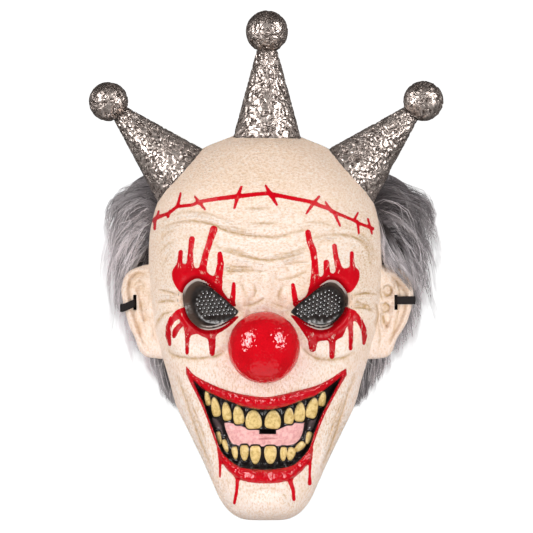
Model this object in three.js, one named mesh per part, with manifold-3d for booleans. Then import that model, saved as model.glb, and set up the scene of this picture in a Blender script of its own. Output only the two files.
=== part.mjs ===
// Clown face mask: a moulded face shell with ears, grinning mouth, ball nose, three horn cones
// with ball tips, two side tufts of hair and an elastic head strap. Millimetres, +Z up.
// The face looks along -Y. The origin is the middle of the back opening, at eye height.
import * as THREE from "three";
import { mergeVertices } from "three/addons/utils/BufferGeometryUtils.js";
import Module from "manifold-3d";

const wasm = await Module();
wasm.setup();

// Driving dimensions
const WALL = 2.2; // thickness of the moulded face
const GAP = 0.3; // clearance between separate pieces
const FACE_ROWS = 27;
const FACE_COLUMNS = 22;
const BACK_PLANE = 60; // how far behind the origin the cutting solids reach
const FRONT_PLANE = -130; // how far in front of the origin the cutting solids reach

const NOSE = { x: -1, y: -75, z: -25, radius: 23.8, wall: 2 };
const HORN = { baseRadius: 22.6, wall: 1.8, root: 12, pegRadius: 3, pegLength: 4 };
const BALL = { wall: 1.6, sink: 1.8 };
const HORNS = [
  { side: "left", x: -57, z: 90, y: -3, length: 56.2, tilt: -44.6, tip: 5.8, ball: 13 },
  { side: "centre", x: 1, z: 113, y: -7, length: 59.2, tilt: 0, tip: 6.6, ball: 14 },
  { side: "right", x: 57.5, z: 90.2, y: -3, length: 56.2, tilt: 44.6, tip: 5.9, ball: 13.3 },
];
const SLOT = { x: 87, z: 4.4, width: 2.2, height: 10 };
// Strap: height of its middle where it leaves each ear and at the back of the head, where it sags
const STRAP = { width: 5.4, thickness: 0.9, reach: 148, left: 2.2, right: 5.8, back: -17 };
const STOP = { width: 3.4, depth: 2, height: 13 };
const BREATH = { x: 1.3, z: -81.8, width: 11, height: 3.2, hood: 5 };
const SCREEN = { pitch: 3.8, hole: 1.4, depth: 5.2, floorScale: 0.8, thickness: 1.2 };

// Horizontal sections of the head, from under the chin to the crown: height, half width at the
// back edge, how far forward the middle reaches, where the back edge lies, and how square it is.
const SECTIONS = [
  { z: -139.8, halfWidth: 9, front: -31.5, rim: -31, square: 2.0 },
  { z: -139.5, halfWidth: 13, front: -46, rim: -30.5, square: 2.0 },
  { z: -138, halfWidth: 18, front: -57, rim: -30, square: 2.1 },
  { z: -134, halfWidth: 24, front: -65, rim: -29.5, square: 2.2 },
  { z: -126.5, halfWidth: 29.8, front: -69, rim: -28.5, square: 2.2 },
  { z: -115, halfWidth: 35.2, front: -69, rim: -26, square: 2.2 },
  { z: -100, halfWidth: 42, front: -68, rim: -21, square: 2.2 },
  { z: -82, halfWidth: 50.8, front: -68, rim: -15, square: 2.2 },
  { z: -64, halfWidth: 59.4, front: -70, rim: -9, square: 2.2 },
  { z: -46, halfWidth: 64.4, front: -69, rim: -5, square: 2.2 },
  { z: -30, halfWidth: 69.2, front: -66, rim: -2, square: 2.3 },
  { z: -10, halfWidth: 74.5, front: -64, rim: 0, square: 2.3 },
  { z: 12, halfWidth: 77, front: -65, rim: 0, square: 2.3 },
  { z: 34, halfWidth: 77.8, front: -68, rim: 1, square: 2.3 },
  { z: 54, halfWidth: 76.5, front: -68, rim: 3, square: 2.35 },
  { z: 76, halfWidth: 70, front: -63.5, rim: 5, square: 2.5 },
  { z: 88, halfWidth: 61.5, front: -58, rim: 7, square: 2.6 },
  { z: 98, halfWidth: 52.5, front: -51.5, rim: 9, square: 2.6 },
  { z: 107, halfWidth: 42, front: -43, rim: 11, square: 2.5 },
  { z: 112.5, halfWidth: 29.5, front: -33, rim: 13, square: 2.3 },
  { z: 115.4, halfWidth: 22, front: -18, rim: 14, square: 2.1 },
  { z: 116, halfWidth: 19.5, front: 13.4, rim: 14, square: 2.0 },
];

// Folds and swellings of the face: a path seen from the front as x and z, how wide the fold is
// and how far it stands proud. Mirrored ones are made on both sides.
const FOLDS = [
  { name: "brow", width: 7, height: 5, mirror: true,
    path: [[-59, 15], [-55, 26], [-46, 30.5], [-36, 26], [-27, 18], [-18, 8]] },
  { name: "eye bag", width: 8, height: 4.5, mirror: true,
    path: [[-65, -13], [-58, -21], [-47, -25.5], [-36, -25], [-27, -20]] },
  { name: "bag crease", width: 2.6, height: -1.8, mirror: true,
    path: [[-67, -25], [-60, -31.5], [-47, -34.5], [-34, -32.5], [-26.5, -27.5]] },
  { name: "nose bridge", width: 9, height: 4, mirror: false,
    path: [[-1, 16], [-1, -8]] },
  { name: "frown crease", width: 2.4, height: -1.6, mirror: true,
    path: [[-5, 21], [-5.5, 12], [-10, 5]] },
  { name: "cheek", width: 13, height: 3, mirror: true,
    path: [[-52, -38], [-36, -42]] },
  { name: "jaw fold", width: 3, height: 1.2, mirror: true,
    path: [[-58, -50], [-49, -72], [-39, -96], [-33, -112]] },
  { name: "chin", width: 13, height: 4, mirror: false,
    path: [[-8, -125], [8, -125]] },
  { name: "forehead fold 1", width: 3.2, height: 1.1, mirror: false,
    path: [[-66, 60], [-42, 61], [-20, 53], [0, 50], [20, 54], [42, 61], [66, 60]] },
  { name: "forehead fold 2", width: 3.2, height: 1.2, mirror: false,
    path: [[-50, 50], [-34, 51], [-16, 43], [0, 40.5], [16, 44], [34, 52], [50, 50]] },
  { name: "forehead fold 3", width: 3.2, height: 1.2, mirror: false,
    path: [[-30, 41], [-14, 34], [0, 31.5], [14, 35], [30, 42]] },
];
const EYE_SOCKET = { x: 35, z: 2.5, halfWidth: 23, halfHeight: 18, depth: 6 };

// Eye opening on the left of the picture: a pointed inner corner, a straight upper lid and a
// round outer end.
const EYE_CORNER = [-16.3, -1.3];
const EYE_LID_END = [-35, 17.3];
const EYE_ROUND = [[-42, 19.7], [-50, 16.5], [-54.4, 7], [-51, -6], [-42, -13], [-31, -12.8]];
const EYE_CENTRE = [-37.5, 2.5];

// Edges of the grin across the face: the opening's upper and lower edge, and the lips' outside
const MOUTH = [
  { x: -51, top: -45.2, bottom: -45.6, lipTop: -39, lipBottom: -46.5 },
  { x: -40, top: -53, bottom: -67.5, lipTop: -48.8, lipBottom: -69.5 },
  { x: -29, top: -59.3, bottom: -95.4, lipTop: -53.5, lipBottom: -99 },
  { x: -15, top: -63.6, bottom: -105.2, lipTop: -57, lipBottom: -113.5 },
  { x: 0, top: -66.7, bottom: -107, lipTop: -59, lipBottom: -116.3 },
  { x: 15, top: -63.6, bottom: -105.2, lipTop: -57, lipBottom: -113.5 },
  { x: 29, top: -59.3, bottom: -95.4, lipTop: -53.5, lipBottom: -99 },
  { x: 40, top: -53, bottom: -67.5, lipTop: -48.8, lipBottom: -69.5 },
  { x: 51, top: -45.2, bottom: -45.6, lipTop: -39, lipBottom: -46.5 },
];
const MOUTH_END = 51;
const MOUTH_DEPTH = 7;
const SEAT = 0.8; // clearance of the mouth piece behind the faceted wall
const LIP_STEPS = 12;

// Teeth: middle, half size and lean in degrees
const TEETH = [
  { x: -38.7, z: -59.3, halfWidth: 1.9, halfHeight: 5.2, lean: -8 },
  { x: -33.3, z: -65.3, halfWidth: 2.9, halfHeight: 6.6, lean: -10 },
  { x: -26, z: -68.3, halfWidth: 3, halfHeight: 6.3, lean: -8 },
  { x: -18, z: -70.7, halfWidth: 3.6, halfHeight: 6.2, lean: -8 },
  { x: -8, z: -73.7, halfWidth: 5.4, halfHeight: 6.3, lean: -4 },
  { x: 5, z: -73.7, halfWidth: 5.3, halfHeight: 6.2, lean: 4 },
  { x: 15.7, z: -71.3, halfWidth: 3.2, halfHeight: 5.5, lean: 3 },
  { x: 23, z: -68.7, halfWidth: 3.6, halfHeight: 6.5, lean: 5 },
  { x: 31.3, z: -66, halfWidth: 3.8, halfHeight: 7, lean: 14 },
  { x: 38, z: -60, halfWidth: 2.5, halfHeight: 5, lean: 10 },
  { x: -31, z: -86, halfWidth: 1.7, halfHeight: 4.5, lean: -10 },
  { x: -26.7, z: -91.3, halfWidth: 1.8, halfHeight: 4.6, lean: -18 },
  { x: -20.3, z: -96, halfWidth: 2, halfHeight: 4.4, lean: -8 },
  { x: -14, z: -96, halfWidth: 2.8, halfHeight: 5.3, lean: -2 },
  { x: -6.7, z: -97.3, halfWidth: 3.6, halfHeight: 6.2, lean: 0 },
  { x: 3.3, z: -97.3, halfWidth: 4.1, halfHeight: 6.1, lean: 0 },
  { x: 12, z: -96.7, halfWidth: 2.3, halfHeight: 4.8, lean: 3 },
  { x: 17, z: -96.7, halfWidth: 2.8, halfHeight: 4.5, lean: 14 },
  { x: 22.7, z: -92, halfWidth: 2.4, halfHeight: 4.4, lean: 48 },
  { x: 28.7, z: -86, halfWidth: 2, halfHeight: 4.4, lean: 14 },
];
const TOOTH_DEPTH = 2.4;

// Ear flaps: how far out each reaches at each height
const EAR = [
  { z: -33.3, left: 71, right: 74 },
  { z: -32, left: 79, right: 81 },
  { z: -28, left: 83.7, right: 84.6 },
  { z: -20, left: 86.8, right: 87.6 },
  { z: -10, left: 91.2, right: 93.8 },
  { z: 2, left: 94.4, right: 97.6 },
  { z: 10.7, left: 96, right: 98.6 },
  { z: 16, left: 95.6, right: 97.6 },
  { z: 23, left: 93, right: 94.4 },
  { z: 27, left: 87.5, right: 88.5 },
  { z: 29.5, left: 80, right: 81 },
];
const EAR_ROWS = 10;
const EAR_COLUMNS = 6;
const EAR_ROOT_Y = -15; // where the ear leaves the side of the head
const EAR_EDGE_Y = 2; // where its outer edge lies
const EAR_ROOT_DEPTH = 6; // how far its root runs into the side of the head

// Locks of the side hair: where each leaves the backing, how far out and down it reaches, how
// far behind the face it lies, and how thick it is
const LOCKS = [
  { z: 78, reach: 31, drop: 27, lift: 13, behind: 9, thick: 8 },
  { z: 68, reach: 29, drop: 34, lift: 7, behind: 8, thick: 8.5 },
  { z: 57, reach: 27, drop: 42, lift: 4, behind: 10, thick: 9 },
  { z: 45, reach: 24, drop: 46, lift: 2, behind: 11, thick: 9 },
  { z: 30, reach: 21, drop: 46, lift: 0, behind: 18, thick: 8.5 },
  { z: 12, reach: 17, drop: 44, lift: -3, behind: 19, thick: 8 },
  { z: -6, reach: 12, drop: 42, lift: -6, behind: 19, thick: 7.5 },
  { z: -24, reach: 6, drop: 40, lift: -8, behind: 16, thick: 6.5 },
];
const HAIR_SPREAD = { left: 1, right: 1.2 };
const HAIR_BACKING = { top: 84, bottom: -50, depth: 22, thickness: 2.5, rows: 7 };

const MATERIALS = {
  skin: standard(0xe9d2bb, 0.45, 0),
  mouth: standard(0x2a2523, 0.35, 0),
  nose: standard(0xc4101c, 0.25, 0),
  eye: standard(0x35302e, 0.4, 0),
  silver: standard(0x9a928c, 0.35, 0.9),
  hair: standard(0x8d8b92, 0.8, 0),
  strap: standard(0x151314, 0.8, 0),
};

function standard(color, roughness, metalness) {
  return new THREE.MeshStandardMaterial({ color, roughness, metalness });
}

// Smooth value of one column of a table at a given place along it
function columnAt(rows, key, name, place) {
  let i = 0;
  while (i < rows.length - 2 && place > rows[i + 1][key]) i += 1;
  const slope = (k) => {
    const a = rows[Math.max(k - 1, 0)];
    const b = rows[Math.min(k + 1, rows.length - 1)];
    return (b[name] - a[name]) / (b[key] - a[key]);
  };
  const span = rows[i + 1][key] - rows[i][key];
  const t = THREE.MathUtils.clamp((place - rows[i][key]) / span, 0, 1);
  const t2 = t * t;
  const t3 = t2 * t;
  return (2 * t3 - 3 * t2 + 1) * rows[i][name] + (t3 - 2 * t2 + t) * span * slope(i)
    + (3 * t2 - 2 * t3) * rows[i + 1][name] + (t3 - t2) * span * slope(i + 1);
}

// Sections are spaced along the profile by how far the surface runs between them
SECTIONS.forEach((row, i) => {
  const last = SECTIONS[i - 1];
  row.along = i === 0 ? 0 : last.along + Math.hypot(row.z - last.z, row.front - last.front);
});
const PROFILE_LENGTH = SECTIONS[SECTIONS.length - 1].along;

function sectionAt(along) {
  const read = (name) => columnAt(SECTIONS, "along", name, along);
  return {
    z: read("z"),
    halfWidth: read("halfWidth"),
    front: read("front"),
    rim: read("rim"),
    square: read("square"),
  };
}

function sectionAtHeight(z) {
  let low = 0;
  let high = PROFILE_LENGTH;
  for (let i = 0; i < 24; i += 1) {
    const middle = (low + high) / 2;
    if (columnAt(SECTIONS, "along", "z", middle) < z) low = middle;
    else high = middle;
  }
  return sectionAt(low);
}

// Distance from a point to a path seen from the front
function distanceToPath(x, z, path) {
  let nearest = Infinity;
  for (let i = 0; i < path.length - 1; i += 1) {
    const [ax, az] = path[i];
    const [bx, bz] = path[i + 1];
    const along = ((x - ax) * (bx - ax) + (z - az) * (bz - az)) / ((bx - ax) ** 2 + (bz - az) ** 2);
    const t = THREE.MathUtils.clamp(along, 0, 1);
    nearest = Math.min(nearest, Math.hypot(x - ax - t * (bx - ax), z - az - t * (bz - az)));
  }
  return nearest;
}

function smoothPath(path) {
  const curve = new THREE.SplineCurve(path.map(([x, z]) => new THREE.Vector2(x, z)));
  return curve.getPoints(path.length * 4).map((p) => [p.x, p.y]);
}
FOLDS.forEach((fold) => {
  fold.line = smoothPath(fold.path);
});

// How far the modelled features stand out of the plain head at a point seen from the front
function reliefAt(x, z) {
  let height = 0;
  for (const fold of FOLDS) {
    const near = distanceToPath(x, z, fold.line);
    const far = fold.mirror ? distanceToPath(-x, z, fold.line) : Infinity;
    height += fold.height * Math.exp(-((Math.min(near, far) / fold.width) ** 2));
  }
  const across = (Math.abs(x) - EYE_SOCKET.x) / EYE_SOCKET.halfWidth;
  const up = (z - EYE_SOCKET.z) / EYE_SOCKET.halfHeight;
  return height - EYE_SOCKET.depth * Math.exp(-((across ** 2 + up ** 2) ** 1.5));
}

// A point of a section at a share of its half width from the middle
function facePointOn(section, share) {
  const s = Math.abs(share);
  const bulge = (1 - s ** section.square) ** (1 / section.square);
  const x = section.halfWidth * share;
  const fade = THREE.MathUtils.smoothstep(1 - s, 0.02, 0.16);
  const reach = THREE.MathUtils.smoothstep(section.rim - section.front, 4, 30);
  const y = section.rim - (section.rim - section.front) * bulge - reliefAt(x, section.z) * fade * reach;
  return new THREE.Vector3(x, y, section.z);
}

// Depth of the face's outside at a point seen from the front
function faceDepth(x, z) {
  const section = sectionAtHeight(z);
  return facePointOn(section, THREE.MathUtils.clamp(x / section.halfWidth, -0.999, 0.999)).y;
}

// How much longer a way along Y through the face is than one square to it
function faceSlope(x, z) {
  const reach = 2;
  const across = (faceDepth(x + reach, z) - faceDepth(x - reach, z)) / (2 * reach);
  const up = (faceDepth(x, z + reach) - faceDepth(x, z - reach)) / (2 * reach);
  return Math.min(Math.hypot(1, across, up), 2.2);
}

function faceGrid(offset) {
  const step = 0.01;
  const at = (along, across) => {
    const section = sectionAt(THREE.MathUtils.clamp(along, 0, PROFILE_LENGTH));
    return facePointOn(section, Math.sin(across * Math.PI / 2));
  };
  const grid = [];
  for (let r = 0; r < FACE_ROWS; r += 1) {
    const along = PROFILE_LENGTH * r / (FACE_ROWS - 1);
    const row = [];
    for (let c = 0; c < FACE_COLUMNS; c += 1) {
      const across = 2 * c / (FACE_COLUMNS - 1) - 1;
      const inside = THREE.MathUtils.clamp(along, 3, PROFILE_LENGTH - 3);
      const side = THREE.MathUtils.clamp(across, -0.97, 0.97);
      const up = at(inside + 2, side).sub(at(inside - 2, side));
      const right = at(inside, side + step).sub(at(inside, side - step));
      const normal = new THREE.Vector3().crossVectors(right, up).normalize();
      row.push(at(along, across).addScaledVector(normal, offset));
    }
    grid.push(row);
  }
  return grid;
}

// Closed solid between two grids of points with the same rows and columns
function solidBetween(front, back) {
  const rows = front.length;
  const columns = front[0].length;
  const points = [...front.flat(), ...back.flat()];
  const index = [];
  const quad = (a, b, c, d) => index.push(a, b, c, a, c, d);
  const f = (r, c) => r * columns + c;
  const k = (r, c) => rows * columns + r * columns + c;
  for (let r = 0; r < rows - 1; r += 1) {
    for (let c = 0; c < columns - 1; c += 1) {
      quad(f(r, c), f(r, c + 1), f(r + 1, c + 1), f(r + 1, c));
      quad(k(r, c), k(r + 1, c), k(r + 1, c + 1), k(r, c + 1));
    }
    quad(f(r + 1, 0), k(r + 1, 0), k(r, 0), f(r, 0));
    quad(f(r, columns - 1), k(r, columns - 1), k(r + 1, columns - 1), f(r + 1, columns - 1));
  }
  for (let c = 0; c < columns - 1; c += 1) {
    quad(f(0, c), k(0, c), k(0, c + 1), f(0, c + 1));
    quad(f(rows - 1, c + 1), k(rows - 1, c + 1), k(rows - 1, c), f(rows - 1, c));
  }
  return solidOf(indexedGeometry(points, index));
}

function indexedGeometry(points, index) {
  const geometry = new THREE.BufferGeometry().setFromPoints(points);
  return geometry.setIndex(index);
}

// Joins and cuts need a closed mesh with shared vertices
function solidOf(geometry) {
  const bare = geometry.clone();
  bare.deleteAttribute("normal");
  bare.deleteAttribute("uv");
  const merged = mergeVertices(bare, 1e-4);
  const corners = merged.index.array;
  const triangles = [];
  for (let i = 0; i < corners.length; i += 3) {
    const [a, b, c] = corners.slice(i, i + 3);
    if (a !== b && b !== c && a !== c) triangles.push(a, b, c);
  }
  const made = (order) => new wasm.Manifold(new wasm.Mesh({
    numProp: 3,
    vertProperties: new Float32Array(merged.attributes.position.array),
    triVerts: new Uint32Array(order),
  }));
  const solid = made(triangles);
  return solid.volume() > 0 ? solid : made(triangles.reverse());
}

function geometryOf(solid) {
  const mesh = solid.getMesh();
  const geometry = new THREE.BufferGeometry();
  geometry.setAttribute("position", new THREE.BufferAttribute(new Float32Array(mesh.vertProperties), 3));
  geometry.setIndex(new THREE.BufferAttribute(new Uint32Array(mesh.triVerts), 1));
  geometry.computeVertexNormals();
  return geometry;
}

function meshOf(name, solid, material) {
  const mesh = new THREE.Mesh(geometryOf(solid), material);
  mesh.name = name;
  return mesh;
}

function mirrored(solid) {
  return solid.mirror([1, 0, 0]);
}

// A prism along Y from a shape drawn in x and z
function prism(shape, near, far, curveSegments = 6) {
  const depth = far - near;
  const geometry = new THREE.ExtrudeGeometry(shape, { depth, bevelEnabled: false, curveSegments });
  geometry.rotateX(Math.PI / 2);
  geometry.translate(0, far, 0);
  return solidOf(geometry);
}

function box(width, depth, height, x, y, z) {
  const geometry = new THREE.BoxGeometry(width, depth, height);
  geometry.translate(x, y, z);
  return solidOf(geometry);
}

function eyeShape() {
  const shape = new THREE.Shape();
  shape.moveTo(...EYE_CORNER);
  shape.lineTo(...EYE_LID_END);
  shape.splineThru(EYE_ROUND.map(([x, z]) => new THREE.Vector2(x, z)));
  shape.lineTo(...EYE_CORNER);
  return shape;
}

// Outline of the eye, shrunk or grown about its middle
function eyeOutline(scale) {
  return eyeShape().getPoints(3).slice(0, -1).map((p) => new THREE.Vector2(
    EYE_CENTRE[0] + (p.x - EYE_CENTRE[0]) * scale, EYE_CENTRE[1] + (p.y - EYE_CENTRE[1]) * scale,
  ));
}

// Dark cup in the eye opening with a pierced floor to look through
function eyeInsert() {
  const rimScale = 0.975;
  const rim = eyeOutline(rimScale);
  const floor = eyeOutline(SCREEN.floorScale);
  const depthAt = (p) => faceDepth(p.x, p.y);
  const middle = new THREE.Vector2(...EYE_CENTRE);
  const ring = (points, sink) => points.map((p) => new THREE.Vector3(p.x, depthAt(p) + sink, p.y));
  const centre = (sink) => new THREE.Vector3(middle.x, depthAt(middle) + sink, middle.y);
  const lip = 0.6;
  const loops = [ring(rim, lip), ring(floor, SCREEN.depth)];
  const backs = [ring(rim, lip + 2), ring(floor, SCREEN.depth + SCREEN.thickness)];
  const n = rim.length;
  const middles = [centre(SCREEN.depth), centre(SCREEN.depth + SCREEN.thickness)];
  const points = [...loops.flat(), ...backs.flat(), ...middles];
  const index = [];
  for (let i = 0; i < n; i += 1) {
    const j = (i + 1) % n;
    index.push(i, j, n + j, i, n + j, n + i, n + i, n + j, 4 * n);
    index.push(2 * n + j, 2 * n + i, 3 * n + i, 2 * n + j, 3 * n + i, 3 * n + j);
    index.push(3 * n + j, 3 * n + i, 4 * n + 1);
    index.push(j, i, 2 * n + i, j, 2 * n + i, 2 * n + j);
  }
  return solidOf(indexedGeometry(points, index)).subtract(screenHoles(floor));
}

// Staggered rows of small holes inside an outline
function screenHoles(outline) {
  const line = [...outline, outline[0]].map((p) => [p.x, p.y]);
  const shape = new THREE.Shape(outline);
  const corners = shape.getPoints();
  const inside = (x, z) => {
    let odd = false;
    corners.forEach((a, i) => {
      const b = corners[(i + 1) % corners.length];
      if ((a.y > z) !== (b.y > z) && x < (b.x - a.x) * (z - a.y) / (b.y - a.y) + a.x) odd = !odd;
    });
    return odd;
  };
  const holes = [];
  const rowStep = SCREEN.pitch * Math.sqrt(3) / 2;
  for (let r = -7; r <= 7; r += 1) {
    for (let c = -8; c <= 8; c += 1) {
      const x = EYE_CENTRE[0] + SCREEN.pitch * (c + (r % 2 === 0 ? 0 : 0.5));
      const z = EYE_CENTRE[1] + rowStep * r;
      if (!inside(x, z) || distanceToPath(x, z, line) < SCREEN.hole + 0.6) continue;
      const pin = new THREE.CylinderGeometry(SCREEN.hole / 2, SCREEN.hole / 2, 30, 3);
      pin.translate(x, faceDepth(x, z) + SCREEN.depth, z);
      holes.push(solidOf(pin));
    }
  }
  return wasm.Manifold.union(holes);
}

const mouthEdge = (name, x) => columnAt(MOUTH, "x", name, THREE.MathUtils.clamp(x, -MOUTH_END, MOUTH_END));

function mouthShape() {
  const shape = new THREE.Shape();
  const steps = 20;
  const xs = Array.from({ length: steps + 1 }, (_, i) => MOUTH_END * (2 * i / steps - 1));
  shape.moveTo(xs[0], mouthEdge("top", xs[0]));
  xs.forEach((x) => shape.lineTo(x, mouthEdge("bottom", x)));
  xs.reverse().forEach((x) => shape.lineTo(x, mouthEdge("top", x)));
  return shape;
}

// Swollen lips: a ring of sections round the grin, from corner to corner and back
function lips() {
  const sides = 5;
  const rings = [];
  const ringAt = (x, inner, outer) => {
    const radius = Math.max(Math.abs(outer - inner) / 2, 1.2);
    const z = (inner + outer) / 2;
    const y = faceDepth(x, z) + 0.6;
    const dome = Math.min(radius, 3.6);
    const shape = [];
    for (let i = 0; i < sides; i += 1) {
      const turn = 2 * Math.PI * i / sides;
      shape.push(new THREE.Vector3(x, y - dome * Math.sin(turn), z + radius * Math.cos(turn)));
    }
    return shape;
  };
  for (let i = 0; i <= LIP_STEPS; i += 1) {
    const x = -MOUTH_END * Math.cos(Math.PI * i / LIP_STEPS);
    rings.push(ringAt(x, mouthEdge("top", x), mouthEdge("lipTop", x)));
  }
  const upper = tubeThrough(rings);
  const lower = [];
  for (let i = 0; i <= LIP_STEPS; i += 1) {
    const x = -MOUTH_END * Math.cos(Math.PI * i / LIP_STEPS);
    lower.push(ringAt(x, mouthEdge("bottom", x), mouthEdge("lipBottom", x)));
  }
  return upper.add(tubeThrough(lower));
}

// Closed tube through rings of the same number of points, with flat ends
function tubeThrough(rings) {
  const sides = rings[0].length;
  const points = rings.flat();
  const index = [];
  for (let r = 0; r < rings.length - 1; r += 1) {
    for (let i = 0; i < sides; i += 1) {
      const j = (i + 1) % sides;
      const a = r * sides;
      index.push(a + i, a + j, a + sides + j, a + i, a + sides + j, a + sides + i);
    }
  }
  const last = (rings.length - 1) * sides;
  for (let i = 1; i < sides - 1; i += 1) {
    index.push(0, i + 1, i, last, last + i, last + i + 1);
  }
  return solidOf(indexedGeometry(points, index));
}

// Sunken mouth behind the lips: gums and tongue in one tray, with raised teeth and a hooded slot
function mouthInsert() {
  const rows = 6;
  const columns = 14;
  const flange = 2.5;
  const front = [];
  const back = [];
  for (let r = 0; r <= rows; r += 1) {
    const frontRow = [];
    const backRow = [];
    for (let c = 0; c <= columns; c += 1) {
      const x = (MOUTH_END + 1) * Math.sin(Math.PI / 2 * (2 * c / columns - 1));
      const share = r / rows;
      const low = mouthEdge("bottom", x) - flange;
      const high = mouthEdge("top", x) + flange;
      const z = low + (high - low) * share;
      const edge = Math.min(share, 1 - share) * (high - low);
      const inside = Math.min(edge, MOUTH_END + 1 - Math.abs(x));
      const sink = THREE.MathUtils.smoothstep(inside, flange, flange + 5);
      const y = faceDepth(x, z) + (WALL + SEAT) * faceSlope(x, z) + (MOUTH_DEPTH - WALL) * sink;
      frontRow.push(new THREE.Vector3(x, y, z));
      backRow.push(new THREE.Vector3(x, y + WALL, z));
    }
    front.push(frontRow);
    back.push(backRow);
  }
  const floorDepth = (x, z) => faceDepth(x, z) + MOUTH_DEPTH - WALL + (WALL + SEAT) * faceSlope(x, z);
  let tray = solidBetween(front, back);
  TEETH.forEach((tooth) => {
    const block = new THREE.CylinderGeometry(1.05, 0.75, TOOTH_DEPTH + 1.5, 6);
    block.scale(tooth.halfWidth, 1, tooth.halfHeight);
    block.rotateY(THREE.MathUtils.degToRad(tooth.lean));
    block.translate(tooth.x, floorDepth(tooth.x, tooth.z) + 0.75 - TOOTH_DEPTH / 2, tooth.z);
    tray = tray.add(solidOf(block));
  });
  const slotY = floorDepth(BREATH.x, BREATH.z);
  tray = tray.subtract(box(BREATH.width, 16, BREATH.height, BREATH.x, slotY, BREATH.z));
  const hoodFloor = box(BREATH.width + 4, BREATH.hood, 1.4, BREATH.x, slotY + WALL + BREATH.hood / 2 - 0.6,
    BREATH.z - BREATH.height / 2 - 1);
  const hoodBack = box(BREATH.width + 4, 1.4, BREATH.height + 5, BREATH.x, slotY + WALL + BREATH.hood - 0.6,
    BREATH.z + 0.8);
  return tray.add(hoodFloor).add(hoodBack);
}

const earReach = (z, side) => columnAt(EAR, "z", side, z);

// Depth of the ear's front at a height and a share of the way from root to edge
function earDepth(z, share) {
  const lean = EAR_ROOT_Y + (EAR_EDGE_Y - EAR_ROOT_Y) * share;
  const middle = Math.exp(-(((z - 1) / 18) ** 2));
  const rolledEdge = 1.6 * Math.exp(-(((share - 0.86) / 0.13) ** 2));
  const hollow = 2.4 * middle * Math.exp(-(((share - 0.42) / 0.16) ** 2));
  return lean - rolledEdge + hollow;
}

// Ear drawn on the right of the picture: a slanting flap with a rolled edge and a hollow
function ear(side) {
  const front = [];
  const back = [];
  const low = EAR[0].z;
  const high = EAR[EAR.length - 1].z;
  for (let r = 0; r < EAR_ROWS; r += 1) {
    const z = (low + high) / 2 - (high - low) / 2 * Math.cos(Math.PI * r / (EAR_ROWS - 1));
    const root = sectionAtHeight(z).halfWidth - EAR_ROOT_DEPTH;
    const reach = Math.max(earReach(z, side), root + 4);
    const frontRow = [];
    const backRow = [];
    for (let c = 0; c < EAR_COLUMNS; c += 1) {
      const share = c / (EAR_COLUMNS - 1);
      const x = root + (reach - root) * share;
      const y = earDepth(z, share);
      frontRow.push(new THREE.Vector3(x, y, z));
      backRow.push(new THREE.Vector3(x, y + WALL, z));
    }
    front.push(frontRow);
    back.push(backRow);
  }
  return solidBetween(front, back);
}

function earDepthAt(x, z, side) {
  const root = sectionAtHeight(z).halfWidth - EAR_ROOT_DEPTH;
  return earDepth(z, (x - root) / (earReach(z, side) - root));
}

// Whole head filled in behind the face, grown by a clearance, for fitting pieces to its outside
function headFill(clearance) {
  const front = faceGrid(clearance);
  const back = front.map((row) => row.map((p) => new THREE.Vector3(p.x, BACK_PLANE, p.z)));
  return solidBetween(front, back);
}

// Space inside the face wall, for trimming what would stick through it
function headHollow() {
  const front = faceGrid(-WALL);
  const back = front.map((row) => row.map((p) => new THREE.Vector3(p.x, BACK_PLANE, p.z)));
  return solidBetween(front, back);
}

function faceShell() {
  let shell = solidBetween(faceGrid(0), faceGrid(-WALL));
  const hollow = headHollow();
  shell = shell.add(ear("right").subtract(hollow)).add(mirrored(ear("left").subtract(hollow)));
  shell = shell.add(lips().subtract(hollow));
  const eye = prism(eyeShape(), FRONT_PLANE, 0);
  const slot = box(SLOT.width, 40, SLOT.height, SLOT.x, 0, SLOT.z);
  return shell
    .subtract(prism(mouthShape(), FRONT_PLANE, 0, 1))
    .subtract(eye).subtract(mirrored(eye))
    .subtract(slot).subtract(mirrored(slot));
}

// Ball nose: a hollow dome seated on the face
function nose() {
  const steps = 6;
  const reach = Math.PI * 0.7;
  const arc = (radius, turn) => new THREE.Vector2(radius * Math.sin(turn), -radius * Math.cos(turn));
  const profile = [];
  for (let i = 0; i <= steps; i += 1) profile.push(arc(NOSE.radius - NOSE.wall, reach * i / steps));
  for (let i = steps; i >= 0; i -= 1) profile.push(arc(NOSE.radius, reach * i / steps));
  profile[0].x = 0;
  profile[profile.length - 1].x = 0;
  const geometry = new THREE.LatheGeometry(profile, 16);
  geometry.translate(NOSE.x, NOSE.y, NOSE.z);
  return solidOf(geometry).subtract(headFill(GAP));
}

// Horn: a hollow cone whose foot is cut to the head, with a peg that carries its ball
function horn(row, group) {
  const { baseRadius, wall, root, pegRadius, pegLength } = HORN;
  const slope = (baseRadius - row.tip) / row.length;
  const profile = [
    [0, row.length - wall],
    [row.tip - wall, row.length - wall],
    [baseRadius + slope * root - wall, -root],
    [baseRadius + slope * root, -root],
    [row.tip, row.length],
    [pegRadius, row.length],
    [pegRadius, row.length + pegLength],
    [0, row.length + pegLength],
  ].map(([r, h]) => new THREE.Vector2(r, h));
  const cone = new THREE.LatheGeometry(profile, 16);
  cone.rotateX(Math.PI / 2);
  const head = geometryOf(headFill(GAP)).applyMatrix4(group.matrix.clone().invert());
  return solidOf(cone).subtract(solidOf(head));
}

// Room that a horn takes up, with a clearance
function hornSpace(row) {
  const { baseRadius, root } = HORN;
  const clear = 1.2;
  const slope = (baseRadius - row.tip) / row.length;
  const foot = baseRadius + slope * root + clear;
  const space = new THREE.CylinderGeometry(row.tip + clear, foot, row.length + root, 12);
  space.translate(0, (row.length - root) / 2, 0);
  space.rotateX(Math.PI / 2);
  space.rotateY(THREE.MathUtils.degToRad(row.tilt));
  space.translate(row.x, row.y, row.z);
  return solidOf(space);
}

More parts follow.
